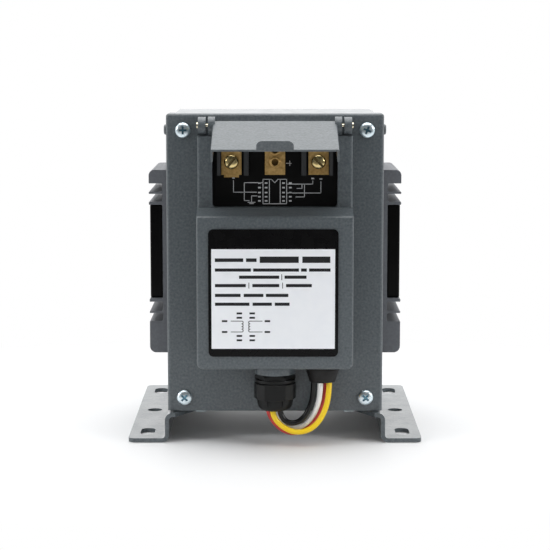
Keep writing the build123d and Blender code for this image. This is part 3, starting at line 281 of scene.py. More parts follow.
def painted_extrusion():
    material, tree, shader, place = new_material("painted_aluminium_extrusion")
    shader.inputs["IOR"].default_value = POLYMER_IOR
    shader.inputs["Specular IOR Level"].default_value = EXTRUSION_SPECULAR
    lines = add(tree, "ShaderNodeMapping", {"Vector": place, "Scale": DIE_LINE_STRETCH}).outputs["Vector"]
    gloss = patchy(tree, lines, size_mm=2.0, low=0.5, high=0.6)
    tone = mottle(tree, lines, size_mm=1.2, low_hex="#5C5F64", high_hex="#72757A")
    connect(tree, shader, tone, gloss, grain(tree, lines, size_mm=0.9, height_mm=0.03, strength=0.3))
    return material


# Thin paint over an extrusion: a flat grey with faint lines from front to rear.
EXTRUSION = painted_extrusion()
dress(EXTRUSION, "heat_sink_left", "heat_sink_right")
print("heat sinks:", EXTRUSION.name)

# %% [markdown]
# Screws, bolts, terminals and hinge pins are bare metal, and so are the core and the windings inside. In a
# metal the colour sits in the reflection, so its tone follows the base colour alone. Patches of two tones
# stand for tarnish, and a grain that is stretched along one axis stands for the marks of brush, lathe or
# rolling. Those marks are finer than a pixel, so they are drawn at about half a millimetre. Driver recesses
# get a painted shade, a darker colour mixed in where an attribute called recess, which only the small
# pieces made below carry, says so.

# %% Bare metals
ROUGHNESS_DRIFT = 0.15
METAL_GRAIN_MM = 0.03
EVEN = (1.0, 1.0, 1.0)


def metal(name, low_hex, high_hex, recess_shade_hex, roughness, patch_mm, grain_mm, stretch=EVEN, strength=0.25):
    """A bare metal with patches of tone, painted shade in its recesses and a grain stretched along one axis.
    """
    material, tree, shader, place = new_material(name)
    shader.inputs["Metallic"].default_value = 1.0
    drift = ROUGHNESS_DRIFT * roughness
    gloss = patchy(tree, place, patch_mm, roughness - drift, roughness + drift)
    # Painted shade: where the recess attribute is set, the tone is mixed towards a darker colour.
    recess = add(tree, "ShaderNodeAttribute", attribute_name="recess").outputs["Fac"]
    unshaded_tone = mottle(tree, place, patch_mm, low_hex, high_hex, detail=3.0)
    tones = {"Factor": recess, COLOUR_A: unshaded_tone, COLOUR_B: colour(recess_shade_hex)}
    tone = add(tree, "ShaderNodeMix", tones, data_type="RGBA").outputs[COLOUR_RESULT]
    lines = add(tree, "ShaderNodeMapping", {"Vector": place, "Scale": stretch}).outputs["Vector"]
    connect(tree, shader, tone, gloss, grain(tree, lines, grain_mm, METAL_GRAIN_MM, strength))
    return material


# Zinc plate on steel: bright with a cool tint, and a blue-grey painted shade in the driver crosses.
ZINC = metal("zinc_plated_steel", "#D2E6EF", "#F2FAFD", "#6A92A5", roughness=0.34, patch_mm=1.6,
             grain_mm=0.5)
# Cut and brushed brass: dull gold, darker where it has tarnished, with a dark brown painted shade down the
# threaded holes.
BRASS = metal("brushed_brass", "#986B2A", "#F6D695", "#4A3413", roughness=0.52, patch_mm=1.2, grain_mm=0.6,
              stretch=(1.0, 1.0, 0.3), strength=1.0)
# Turned pale brass: smooth and nearly white, with rings round the pin.
PIN_BRASS = metal("turned_pale_brass", "#DED3B4", "#F0E8D0", "#6B6450", roughness=0.25, patch_mm=1.0,
                  grain_mm=0.3, stretch=(0.1, 1.0, 1.0))
# Stacked steel sheets: plain grey with the fine lines of their edges.
CORE_STEEL = metal("stacked_core_sheet", "#7E8083", "#96989B", "#4A4B4D", roughness=0.45, patch_mm=6.0,
                   grain_mm=0.5, stretch=(0.02, 1.0, 0.02))
# Enamelled copper: warm brown red, ribbed by the turns.
COPPER = metal("enamelled_copper_turns", "#9A4F27", "#B8643A", "#5A2E17", roughness=0.35, patch_mm=3.0,
               grain_mm=0.8, stretch=(0.03, 0.03, 1.0))
dress(ZINC, "sink_screws", "foot_bolts", "foot_nuts")
dress(BRASS, "terminal_bar_left", "terminal_bar_middle", "terminal_bar_right")
dress(PIN_BRASS, "hinge_pins")
dress(CORE_STEEL, "core_e_stack", "core_i_stack")
dress(COPPER, "primary_lower", "primary_upper", "secondary_lower", "secondary_upper")
print("metals:", ZINC.name, BRASS.name, PIN_BRASS.name, CORE_STEEL.name, COPPER.name)

# %% [markdown]
# The black pieces are four different stuffs: a pressed terminal block, a nylon gland, a rubber grommet and
# seal, and resin that was poured into the heat sinks. One black for all of them would hide that, so each
# has its own gloss and grain from one shared recipe. All reflect a little less than clear plastic does,
# because their skins are slightly dull.

# %% Plastics, rubber and resin
SKIN_GRAIN_MM = 0.02


def moulded(name, low_hex, high_hex, roughness, specular, patch_mm, grain_mm, strength):
    """A plastic, rubber or resin with slight patches of tone and a skin grain."""
    material, tree, shader, place = new_material(name)
    shader.inputs["IOR"].default_value = POLYMER_IOR
    shader.inputs["Specular IOR Level"].default_value = specular
    drift = ROUGHNESS_DRIFT * roughness
    gloss = patchy(tree, place, patch_mm, roughness - drift, roughness + drift)
    tone = mottle(tree, place, patch_mm, low_hex, high_hex)
    connect(tree, shader, tone, gloss, grain(tree, place, grain_mm, SKIN_GRAIN_MM, strength))
    return material


# Pressed phenolic: deep black with a low sheen.
MOULDING = moulded("black_phenolic_moulding", "#070707", "#0E0E0E", roughness=0.4, specular=0.18,
                   patch_mm=4.0, grain_mm=0.6, strength=0.2)
# Moulded nylon: soft black whose facets catch a broad sheen.
NYLON = moulded("black_nylon", "#0C0D0D", "#131414", roughness=0.4, specular=0.25, patch_mm=3.0,
                grain_mm=0.7, strength=0.25)
# Rubber: matt and slightly warm.
RUBBER = moulded("moulded_black_rubber", "#181717", "#222121", roughness=0.6, specular=0.3, patch_mm=3.0,
                 grain_mm=0.5, strength=0.3)
# Poured resin: the darkest and glossiest, with slow waves.
RESIN = moulded("potting_resin_black", "#030303", "#070707", roughness=0.18, specular=0.2, patch_mm=12.0,
                grain_mm=6.0, strength=0.15)
# Glass-filled nylon: grey and flat.
BOBBIN = moulded("glass_filled_nylon", "#3A3A38", "#484846", roughness=0.5, specular=0.5, patch_mm=4.0,
                 grain_mm=0.6, strength=0.3)
# Kraft paper: pale brown and dry.
KRAFT = moulded("kraft_paper", "#B9986A", "#C9AA7C", roughness=0.85, specular=0.3, patch_mm=3.0,
                grain_mm=0.4, strength=0.4)
dress(MOULDING, "terminal_block")
dress(NYLON, "gland_body", "gland_nut", "gland_locknut")
dress(RUBBER, "gland_seal", "wire_grommet")
dress(RESIN, "potting")
dress(BOBBIN, "coil_bobbin")
dress(KRAFT, "wrap_lower", "wrap_upper")
print("mouldings:", MOULDING.name, NYLON.name, RUBBER.name, RESIN.name, BOBBIN.name, KRAFT.name)

# %% [markdown]
# The terminal block's ribs stand between the bars, and their fronts catch more light than the floor between
# them. That light is painted into the colour: a second material would need its own faces, so the black is
# mixed towards grey by how far a point lies ahead of the panel.

# %% Painted light on the rib fronts
# The grey of the painted light on the rib fronts, and where it starts and ends ahead of the panel.
RIB_LIGHT_START = 5.2 * MM
RIB_LIGHT_END = 6.7 * MM
RIB_LIGHT_TONE = "#3E3F40"


# The rib fronts get a painted highlight: the black turns grey ahead of the floor.
def paint_rib_front_light(material):
    tree = material.node_tree
    shader = next(node for node in tree.nodes if node.type == "BSDF_PRINCIPLED")
    skin = shader.inputs["Base Color"].links[0].from_socket
    place = next(node for node in tree.nodes if node.type == "TEX_COORD").outputs["Object"]
    depth = add(tree, "ShaderNodeSeparateXYZ", {0: place}).outputs["Y"]
    span = {"Value": depth, "From Min": panel_face - RIB_LIGHT_START, "From Max": panel_face - RIB_LIGHT_END}
    rib_light = add(tree, "ShaderNodeMapRange", span, interpolation_type="SMOOTHSTEP").outputs["Result"]
    tones = {"Factor": rib_light, COLOUR_A: skin, COLOUR_B: colour(RIB_LIGHT_TONE)}
    tone = add(tree, "ShaderNodeMix", tones, data_type="RGBA").outputs[COLOUR_RESULT]
    tree.links.new(tone, shader.inputs["Base Color"])


# Paint the light on the rib fronts into the terminal block's colour.
paint_rib_front_light(MOULDING)
print("rib fronts are painted lighter over", round((RIB_LIGHT_END - RIB_LIGHT_START) / MM, 1), "mm")

# %% [markdown]
# The leads have extruded PVC sheaths: full colours with a smooth, slightly waxy gloss that draws one soft
# line along each wire. They share one recipe and differ in colour. The black one is smoother, because a
# dark sheath shows its shape by that line alone.

# %% Lead sheaths
# Finish, two tones, roughness and specular level of each sheath.
SHEATHS = {
    "lead_black": ("pvc_sheath_black", "#0A0A0A", "#101010", 0.24, 0.36),
    "lead_white": ("pvc_sheath_white", "#F0F0EC", "#F8F8F5", 0.35, 0.5),
    "lead_red": ("pvc_sheath_red", "#C03434", "#D04040", 0.35, 0.5),
    "lead_yellow": ("pvc_sheath_yellow", "#FFD20A", "#FFDC20", 0.35, 0.5),
}
for name, (finish, low_hex, high_hex, roughness, specular) in SHEATHS.items():
    sheath = moulded(finish, low_hex, high_hex, roughness, specular, patch_mm=6.0, grain_mm=1.2,
                     strength=0.1)
    leads[name].data.materials.append(sheath)
    print(name, "has", sheath.name)

# %% [markdown]
# Small things that repeat are made with Geometry Nodes: one copy is drawn and a tree sets it wherever it
# is needed. One helper starts a tree with named inputs, and one makes the points that carry the copies.
# Another puts a tree on an object, sets its inputs by their identifiers and takes the result as a plain
# mesh, so that no modifier is left on the piece.

# %% Geometry Nodes helpers


def new_tree(name, sockets):
    """A geometry tree with its own named inputs, and the outputs of its input node."""
    tree = bpy.data.node_groups.new(name, "GeometryNodeTree")
    tree.interface.new_socket("Geometry", in_out="INPUT", socket_type="NodeSocketGeometry")
    for label, kind in sockets.items():
        tree.interface.new_socket(label, in_out="INPUT", socket_type="NodeSocket" + kind)
    tree.interface.new_socket("Geometry", in_out="OUTPUT", socket_type="NodeSocketGeometry")
    return tree, add(tree, "NodeGroupInput").outputs


def end_tree(tree, copies, material):
    """Make the copies real, give them their finish and close the tree."""
    real = add(tree, "GeometryNodeRealizeInstances", {0: copies})
    ready = add(tree, "GeometryNodeSetMaterial", {"Geometry": real.outputs[0], "Material": material})
    add(tree, "NodeGroupOutput", {0: ready.outputs[0]})
    print(tree.name, "has", len(tree.nodes), "nodes")
    return tree


def points_mesh(places, attributes):
    """Loose points with a value of each named attribute."""
    mesh = bpy.data.meshes.new("points")
    mesh.from_pydata(places, [], [])
    for name, values in attributes.items():
        mesh.attributes.new(name, "FLOAT", "POINT").data.foreach_set("value", values)
    return mesh


def grow(name, mesh, tree, values):
    """The plain mesh that a tree makes from a mesh and these inputs, without the tree's empty slots."""
    seed = bpy.data.objects.new(name, mesh)
    scene.collection.objects.link(seed)
    modifier = seed.modifiers.new(tree.name, "NODES")
    modifier.node_group = tree
    for socket in tree.interface.items_tree:
        if socket.in_out == "INPUT" and socket.name in values:
            modifier[socket.identifier] = values[socket.name]
    depsgraph = bpy.context.evaluated_depsgraph_get()
    grown = bpy.data.meshes.new_from_object(seed.evaluated_get(depsgraph), depsgraph=depsgraph)
    bpy.data.objects.remove(seed)
    empty_slots = [i for i, material in enumerate(grown.materials) if material is None]
    for i in reversed(empty_slots):
        grown.materials.pop(index=i)
    print(name, "has", len(grown.polygons), "faces")
    return grown


def place_piece(name, mesh):
    """An object that rides on the case."""
    piece = bpy.data.objects.new(name, mesh)
    scene.collection.objects.link(piece)
    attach(piece, "case")
    return piece


# %% [markdown]
# Screws and linings are turned on a lathe, and the script makes them the same way: a profile of radius and
# height pairs goes round an axis. A Screw modifier could do that too, but a few rings of points give full
# say over the poles, which close in single points.

# %% Lathe
TURN_STEPS = 40
SHARP_ANGLE = math.radians(32)


def finished_mesh(name, shape):
    """A mesh from an edit mesh, with its faces turned outwards."""
    bmesh.ops.recalc_face_normals(shape, faces=shape.faces)
    mesh = bpy.data.meshes.new(name)
    shape.to_mesh(mesh)
    shape.free()
    return mesh


def lathe(profile):
    """A closed mesh turned from radius and height pairs, which start and end on the axis."""
    shape = bmesh.new()
    angles = [2 * math.pi * step / TURN_STEPS for step in range(TURN_STEPS)]
    rings = [[shape.verts.new((radius * math.cos(a), radius * math.sin(a), height))
              for a in (angles if radius > 0 else angles[:1])] for radius, height in profile]
    for lower, upper in zip(rings, rings[1:]):
        for i in range(TURN_STEPS):
            j = i + 1
            corners = [lower[i % len(lower)], lower[j % len(lower)]]
            corners += [upper[j % len(upper)], upper[i % len(upper)]]
            shape.faces.new(list(dict.fromkeys(corners)))
    return finished_mesh("turned", shape)


def smooth_and_mark(mesh, shade_at):
    """Round shading with sharp edges, and the recess attribute, the share of painted shade, from each
    corner's height.
    """
    mesh.shade_smooth()
    mesh.set_sharp_from_angle(angle=SHARP_ANGLE)
    marks = mesh.attributes.new("recess", "FLOAT", "POINT").data
    for vert, mark in zip(mesh.vertices, marks):
        mark.value = shade_at(vert.co.z)
    return mesh


print("a turn has", TURN_STEPS, "steps of", 360 / TURN_STEPS, "degrees")

# %% [markdown]
# A pan-head screw has a flat seat, a domed head and a shank. The driver's cross or slot is cut from the
# head with a Boolean, as a punch or a saw would cut it, because a dark mark on a smooth dome looks printed
# from the side. Corners on the floor of the cut get the recess attribute, which the metals turn into a
# painted shade.

# %% Turned screws
DOME_STEPS = 8
CUT_MARGIN = 0.05 * MM
CUTTER_RISE = 1.5


def driver_cutter(outline, bottom, top, taper):
    """A closed block over an outline, narrower at its foot."""
    shape = bmesh.new()
    above = [shape.verts.new((p.x, p.y, top)) for p in outline]
    below = [shape.verts.new((p.x * taper, p.y * taper, bottom)) for p in outline]
    shape.faces.new(above)
    shape.faces.new(below[::-1])
    for i in range(len(outline)):
        j = (i + 1) % len(outline)
        shape.faces.new((above[i], below[i], below[j], above[j]))
    return finished_mesh("cutter", shape)


def turned_screw(head, shank, outline, depth, taper, floor_shade):
    """A screw along Z, seated at zero, from head radius, height, edge and shank radius, length, tip."""
    radius, height, edge = head
    stem, length, tip = shank
    cut_floor = height - depth
    arc = [math.pi / 2 * step / DOME_STEPS for step in range(DOME_STEPS)]
    dome = [(radius * math.cos(a), edge + (height - edge) * math.sin(a)) for a in arc]
    point = [(0, -length), (stem - tip, -length), (stem, tip - length)]
    screw = bpy.data.objects.new("screw", lathe([*point, (stem, 0), (radius, 0), *dome, (0, height)]))
    cutter = bpy.data.objects.new("cutter", driver_cutter(outline, cut_floor, height * CUTTER_RISE, taper))
    for part in (screw, cutter):
        scene.collection.objects.link(part)
    cut = screw.modifiers.new("recess", "BOOLEAN")
    cut.object = cutter
    cut.solver = "EXACT"
    depsgraph = bpy.context.evaluated_depsgraph_get()
    mesh = bpy.data.meshes.new_from_object(screw.evaluated_get(depsgraph), depsgraph=depsgraph)
    bpy.data.objects.remove(cutter)
    bpy.data.objects.remove(screw)
    print("a screw has", len(mesh.polygons), "faces")
    # The floor of the cut gets this much painted shade, which fades up its walls.
    return smooth_and_mark(mesh, lambda z: floor_shade if abs(z - cut_floor) < CUT_MARGIN else 0.0)


# %% [markdown]
# Eight zinc-plated screws with a driver's cross hold the covers, four in front and four behind. One screw
# is drawn here. Its sizes are those of a common 4 mm pan head.

# %% Cover screw
HEAD_RADIUS = 3.7 * MM
HEAD_HEIGHT = 2.2 * MM
HEAD_EDGE = 0.7 * MM
SHANK_RADIUS = 2.0 * MM
SHANK_LENGTH = 8.0 * MM
SHANK_TIP = 0.6 * MM
CROSS_REACH = 2.25 * MM
CROSS_WIDTH = 1.15 * MM
CROSS_DEPTH = 1.4 * MM
CROSS_TAPER = 0.75
# Strength of the painted shade on the floor of the cross.
CROSS_SHADE = 1.0


def cross_outline():
    half = CROSS_WIDTH / 2
    quarter = [Vector((CROSS_REACH, -half)), Vector((CROSS_REACH, half)), Vector((half, half))]
    return [Matrix.Rotation(math.pi / 2 * turn, 2) @ point for turn in range(4) for point in quarter]


cross_screw = bpy.data.objects.new("cross_screw", turned_screw(
    (HEAD_RADIUS, HEAD_HEIGHT, HEAD_EDGE), (SHANK_RADIUS, SHANK_LENGTH, SHANK_TIP), cross_outline(),
    CROSS_DEPTH, CROSS_TAPER, CROSS_SHADE))

# %% [markdown]
# A tree sets the screw on the corners of a grid and gives each its own turn, because the crosses of real
# screws are never lined up. It stands one grid on the front cover and one on the rear cover. Placing eight
# objects by hand would do as well, but here two spacings and two seats say it all, and they come from the
# solids that the screws replace.

# %% Cover screws on their corners
DRAW_LOW = 2
DRAW_HIGH = 3
DRAW_RESULT = 1
TURN_SEED = 5


def corner_screws_tree():
    tree, inputs = new_tree("corner_screws", {
        "Screw": "Object", "Across": "Float", "Up": "Float", "Middle": "Float", "Front": "Float",
        "Rear": "Float", "Seed": "Int", "Finish": "Material"})
    screw = add(tree, "GeometryNodeObjectInfo", {"Object": inputs["Screw"]}).outputs["Geometry"]
    corners = {"Size X": inputs["Across"], "Size Y": inputs["Up"], "Vertices X": 2, "Vertices Y": 2}
    grid = add(tree, "GeometryNodeMeshGrid", corners).outputs["Mesh"]
    limits = {DRAW_LOW: 0.0, DRAW_HIGH: math.pi / 2, "Seed": inputs["Seed"]}
    draw = add(tree, "FunctionNodeRandomValue", limits, data_type="FLOAT").outputs[DRAW_RESULT]
    turn = add(tree, "ShaderNodeCombineXYZ", {"Z": draw})
    aim = add(tree, "FunctionNodeEulerToRotation", {0: turn.outputs[0]})
    seats = {"Points": grid, "Instance": screw, "Rotation": aim.outputs[0]}
    copies = add(tree, "GeometryNodeInstanceOnPoints", seats).outputs[0]
    joined = add(tree, "GeometryNodeJoinGeometry")
    for cover, tip in (("Front", math.pi / 2), ("Rear", -math.pi / 2)):
        seat = add(tree, "ShaderNodeCombineXYZ", {"Y": inputs[cover], "Z": inputs["Middle"]})
        stance = {"Geometry": copies, "Translation": seat.outputs[0], "Rotation": (tip, 0, 0)}
        stood = add(tree, "GeometryNodeTransform", stance)
        tree.links.new(stood.outputs[0], joined.inputs[0])
    return end_tree(tree, joined.outputs[0], inputs["Finish"])


low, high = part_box("cover_screws")
corner_screws = grow("cover_screw_set", bpy.data.meshes.new("empty"), corner_screws_tree(), {
    "Screw": cross_screw, "Across": high.x - low.x - 2 * HEAD_RADIUS, "Up": high.z - low.z - 2 * HEAD_RADIUS,
    "Middle": (low.z + high.z) / 2, "Front": low.y + HEAD_HEIGHT, "Rear": high.y - HEAD_HEIGHT,
    "Seed": TURN_SEED, "Finish": ZINC})
bpy.data.objects.remove(cross_screw)
cover_screw_set = place_piece("cover_screw_set", corner_screws)
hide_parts("cover_screws")

# %% [markdown]
# Two slotted screws of bright brass clamp the outer terminals, and each slot was left at its own angle.
# Two plain transforms would set them, but a second tree does it for any number: it puts a copy on each
# point of a mesh, facing the front, and turns it by the point's own attribute. The terminal holes below
# use the same tree.

# %% Terminal screws
CLAMP_RADIUS = 3.5 * MM
CLAMP_HEIGHT = 2.2 * MM
CLAMP_EDGE = 0.6 * MM
CLAMP_STEM = 1.75 * MM
CLAMP_LENGTH = 8.0 * MM
SLOT_HALF_LENGTH = 4.5 * MM
SLOT_HALF_WIDTH = 0.6 * MM
SLOT_DEPTH = 1.1 * MM
SLOT_TAPER = 1.0
# Strength of the painted shade on the floor of the slot.
SLOT_SHADE = 0.6
SLOT_TURNS = {-1: math.radians(-52), 1: math.radians(45)}

# Turned and polished brass: pale gold with quick, bright highlights, and a dark painted shade in the slots.
BRIGHT_BRASS = metal("turned_bright_brass", "#CDB06A", "#F8E8B4", "#4A3413", roughness=0.24, patch_mm=1.5,
                     grain_mm=0.4)


def seated_copies_tree():
    tree, inputs = new_tree("seated_copies", {"Piece": "Object", "Tip": "Float", "Finish": "Material"})
    piece = add(tree, "GeometryNodeObjectInfo", {"Object": inputs["Piece"]}).outputs["Geometry"]
    turn = add(tree, "GeometryNodeInputNamedAttribute", {"Name": "turn"}, data_type="FLOAT").outputs[0]
    angles = add(tree, "ShaderNodeCombineXYZ", {"X": inputs["Tip"], "Y": turn})
    aim = add(tree, "FunctionNodeEulerToRotation", {0: angles.outputs[0]})
    seats = {"Points": inputs["Geometry"], "Instance": piece, "Rotation": aim.outputs[0]}
    copies = add(tree, "GeometryNodeInstanceOnPoints", seats).outputs[0]
    return end_tree(tree, copies, inputs["Finish"])


def seat_copies(name, mesh, places, turns, material):
    """One mesh with a copy on each place, turned about its own axis, which faces the front."""
    piece = bpy.data.objects.new(name + "_copy", mesh)
    values = {"Piece": piece, "Tip": math.pi / 2, "Finish": material}
    grown = grow(name, points_mesh(places, {"turn": turns}), SEATED_COPIES, values)
    bpy.data.objects.remove(piece)
    return grown


SEATED_COPIES = seated_copies_tree()
slot_corners = ((1, -1), (1, 1), (-1, 1), (-1, -1))
slot_outline = [Vector((x * SLOT_HALF_LENGTH, y * SLOT_HALF_WIDTH)) for x, y in slot_corners]
clamp_screw = turned_screw((CLAMP_RADIUS, CLAMP_HEIGHT, CLAMP_EDGE), (CLAMP_STEM, CLAMP_LENGTH, SHANK_TIP),
                           slot_outline, SLOT_DEPTH, SLOT_TAPER, SLOT_SHADE)
low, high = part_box("terminal_screws")
reach = high.x - CLAMP_RADIUS
terminal_level = (low.z + high.z) / 2
clamp_seats = [(side * reach, low.y + CLAMP_HEIGHT, terminal_level) for side in SLOT_TURNS]
clamps = seat_copies("terminal_screw_set", clamp_screw, clamp_seats, list(SLOT_TURNS.values()), BRIGHT_BRASS)
terminal_screw_set = place_piece("terminal_screw_set", clamps)
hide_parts("terminal_screws")

# %% [markdown]
# The middle bar has two rimmed holes with a cut thread and no screws. A true helix of this size would only
# show as fine rings, so each hole gets a lining that is turned from a saw-tooth profile, with a rounded
# lip outside and the cone that a drill leaves inside. Its colour darkens towards its floor as a painted
# shade.

# %% Threaded holes
THREAD_OUTER = 1.88 * MM
THREAD_ROOT = 1.85 * MM
THREAD_CREST = 1.65 * MM
THREAD_PITCH = 0.5 * MM
THREAD_TURNS = 3
LIP_RADIUS = 2.6 * MM
LIP_HEIGHT = 0.35 * MM
LIP_STEPS = 6
LINING_DEPTH = 2.05 * MM
HOLE_PITCH = 6.0 * MM
HOLE_COUNT = 2
# Strength of the painted shade at the foot of the lining.
HOLE_SHADE = 0.8


def threaded_lining():
    foot = -THREAD_PITCH * THREAD_TURNS
    teeth = [(radius, -THREAD_PITCH * (turn + part)) for turn in range(THREAD_TURNS)
             for radius, part in ((THREAD_CREST, 0.0), (THREAD_ROOT, 0.5))]
    middle = (LIP_RADIUS + THREAD_CREST) / 2
    half = (LIP_RADIUS - THREAD_CREST) / 2
    arc = [math.pi * step / LIP_STEPS for step in range(LIP_STEPS)]
    lip = [(middle + half * math.cos(a), LIP_HEIGHT * math.sin(a)) for a in arc]
    sleeve = [(0, -LINING_DEPTH), (THREAD_OUTER, -LINING_DEPTH), (THREAD_OUTER, 0)]
    cone = [(THREAD_CREST, foot), (0, (foot - LINING_DEPTH) / 2)]
    lining = lathe([*sleeve, *lip, *teeth, *cone])
    # Painted shade grows with depth down the lining.
    return smooth_and_mark(lining, lambda z: HOLE_SHADE * min(1.0, max(0.0, z / foot)))


rim_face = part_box("terminal_bar_middle")[0].y
hole_seats = [(0, rim_face, terminal_level + row * HOLE_PITCH) for row in range(HOLE_COUNT)]
linings = seat_copies("threaded_hole_set", threaded_lining(), hole_seats, [0.0] * HOLE_COUNT, BRASS)
place_piece("threaded_hole_set", linings)

# %% [markdown]
# The label and the terminal block carry printed marks. Each mark is one thin bar, so a single tree prints
# them all: it sets a unit bar on each point and reads the bar's length, width and turn from the point's
# attributes. A painted texture would blur when seen close. The bars are a few hundredths of a millimetre
# thick, as ink is.

# %% Print tree
INK_THICKNESS = 0.05 * MM


def printed_marks_tree():
    tree, inputs = new_tree("printed_marks", {"Thickness": "Float", "Ink": "Material"})
    length, width, turn = (
        add(tree, "GeometryNodeInputNamedAttribute", {"Name": name}, data_type="FLOAT").outputs[0]
        for name in ("length", "width", "turn"))
    size = add(tree, "ShaderNodeCombineXYZ", {"X": length, "Y": inputs["Thickness"], "Z": width})
    angles = add(tree, "ShaderNodeCombineXYZ", {"Y": turn})
    aim = add(tree, "FunctionNodeEulerToRotation", {0: angles.outputs[0]})
    bar = add(tree, "GeometryNodeMeshCube", {"Size": (1, 1, 1)})
    seats = {"Points": inputs["Geometry"], "Instance": bar.outputs["Mesh"], "Rotation": aim.outputs[0],
             "Scale": size.outputs[0]}
    bars = add(tree, "GeometryNodeInstanceOnPoints", seats).outputs[0]
    return end_tree(tree, bars, inputs["Ink"])


def print_marks(name, marks, corner, thickness, ink):
    """A piece of printed bars, given in millimetres from a corner as x, up, length, width, and a turn."""
    across, up, lengths, widths, turns = zip(*marks)
    places = [(corner.x + x * MM, corner.y, corner.z + z * MM) for x, z in zip(across, up)]
    sizes = {"length": [v * MM for v in lengths], "width": [v * MM for v in widths], "turn": turns}
    values = {"Thickness": thickness, "Ink": ink}
    return place_piece(name, grow(name, points_mesh(places, sizes), PRINTED_MARKS, values))


def line_marks(points, width):
    """Bars along a bent line, each half a width longer at both ends so that the corners close."""
    marks = []
    for (x0, up0), (x1, up1) in zip(points, points[1:]):
        length = math.hypot(x1 - x0, up1 - up0) + width
        marks.append(((x0 + x1) / 2, (up0 + up1) / 2, length, width, math.atan2(up0 - up1, x1 - x0)))
    return marks


PRINTED_MARKS = printed_marks_tree()

# %% [markdown]
# The label is a plate of black foil with a satin face and a white field. The field could be a second
# colour in the plate's material, but as a thin slab of its own, set in from the plate's edges, it keeps a
# clean edge at any distance.

# %% Label field
FIELD_LEFT = 1.45 * MM
FIELD_RIGHT = 1.55 * MM
FIELD_TOP = 9.4 * MM
FIELD_BOTTOM = 3.8 * MM

# Black printed foil: deep black with a soft mirror of the room.
LABEL_BLACK = moulded("printed_foil_black", "#060607", "#0B0B0C", roughness=0.28, specular=0.17,
                      patch_mm=5.0, grain_mm=0.5, strength=0.15)
# White printed foil: a clean, slightly cool white.
LABEL_WHITE = moulded("printed_foil_white", "#F0F3F8", "#F7F9FC", roughness=0.42, specular=0.3, patch_mm=5.0,
                      grain_mm=0.5, strength=0.15)


def thin_slab(name, lowest, highest):
    """A closed slab between two corners."""
    shape = bmesh.new()
    bmesh.ops.create_cube(shape, size=1.0)
    middle = (lowest + highest) / 2
    size = highest - lowest
    for vert in shape.verts:
        vert.co = middle + Vector(a * b for a, b in zip(vert.co, size))
    mesh = bpy.data.meshes.new(name)
    shape.to_mesh(mesh)
    shape.free()
    return mesh


dress(LABEL_BLACK, "label_plate")
plate_low, plate_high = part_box("label_plate")
field_low = Vector((plate_low.x + FIELD_LEFT, plate_low.y - INK_THICKNESS, plate_low.z + FIELD_BOTTOM))
field_high = Vector((plate_high.x - FIELD_RIGHT, plate_low.y + INK_THICKNESS, plate_high.z - FIELD_TOP))
field = thin_slab("label_field", field_low, field_high)
field.materials.append(LABEL_WHITE)
place_piece("label_field", field)
print("field:", [round(side / MM, 1) for side in field_high - field_low], "mm")

# %% [markdown]
# The field carries rows of plain dark bars, with thin dividers between some of them. A row gives its
# distance below the field's top, the height of its bars, and where each bar starts and how long it is, in
# millimetres. A table of rows is easier to set against the picture than loose shapes are.

# %% Label rows
BAR_HEIGHT = 1.5
FIRST_BAR_HEIGHT = 1.7
TALL_BAR_HEIGHT = 3.0
BAR_ROWS = (
    (5.2, FIRST_BAR_HEIGHT, ((1.7, 13.4), (16.4, 5.0))),
    (5.0, TALL_BAR_HEIGHT, ((22.9, 18.4), (43.0, 13.2))),
    (9.9, BAR_HEIGHT, ((1.7, 17.0), (19.8, 21.6), (42.4, 2.7), (46.2, 10.1))),
    (13.3, BAR_HEIGHT, ((13.1, 19.0), (34.6, 10.4))),
    (17.3, BAR_HEIGHT, ((1.7, 14.6), (19.4, 12.7), (35.3, 12.2))),
    (22.0, BAR_HEIGHT, ((1.7, 12.1), (15.3, 9.3), (25.8, 10.6))),
    (26.2, BAR_HEIGHT, ((1.7, 16.3), (19.5, 9.1), (30.0, 7.0))),
)
DIVIDERS = ((17.75, 17.3), (33.7, 17.3), (33.3, 13.3))
DIVIDER_HEIGHT = 2.8
LINE_WIDTH = 0.32

label_marks = [(start + length / 2, -down, length, height, 0.0) for down, height, row in BAR_ROWS
               for start, length in row]
label_marks += [(x, -down, LINE_WIDTH, DIVIDER_HEIGHT, 0.0) for x, down in DIVIDERS]
print("label rows:", len(label_marks), "marks")

# %% [markdown]
# Below the rows a small diagram shows the two windings, face to face: a lead at each end, half-round bumps
# between the leads, and short tags. The bumps are short straight bars round an arc, so the same tree
# prints them.

# %% Winding diagram
COIL_BUMPS = 4
COIL_TOP = 34.3
COIL_FOOT = 39.5
# Where each winding stands, where its leads end and which side its bumps leave free.
COIL_SIDES = ((14.4, 9.3, -1), (18.2, 24.0, 1))
BUMP_ANGLES = (math.pi / 4, math.pi / 2, math.pi * 3 / 4, math.pi)
TAG_LENGTH = 2.6
TAG_HEIGHT = 0.9
TAG_PLACES = ((6.2, 34.3), (6.2, 39.5), (26.5, 34.3), (26.5, 39.5), (13.2, 30.6), (13.2, 32.7), (19.3, 30.6),
              (19.3, 32.7), (13.2, 41.4), (13.2, 43.5), (19.3, 41.4), (19.3, 43.5))

# Black printing ink: a flat near-black that is paler than the foil.
LABEL_INK = moulded("printed_ink_black", "#1C1D1F", "#28292B", roughness=0.5, specular=0.25, patch_mm=2.0,
                    grain_mm=0.5, strength=0.15)


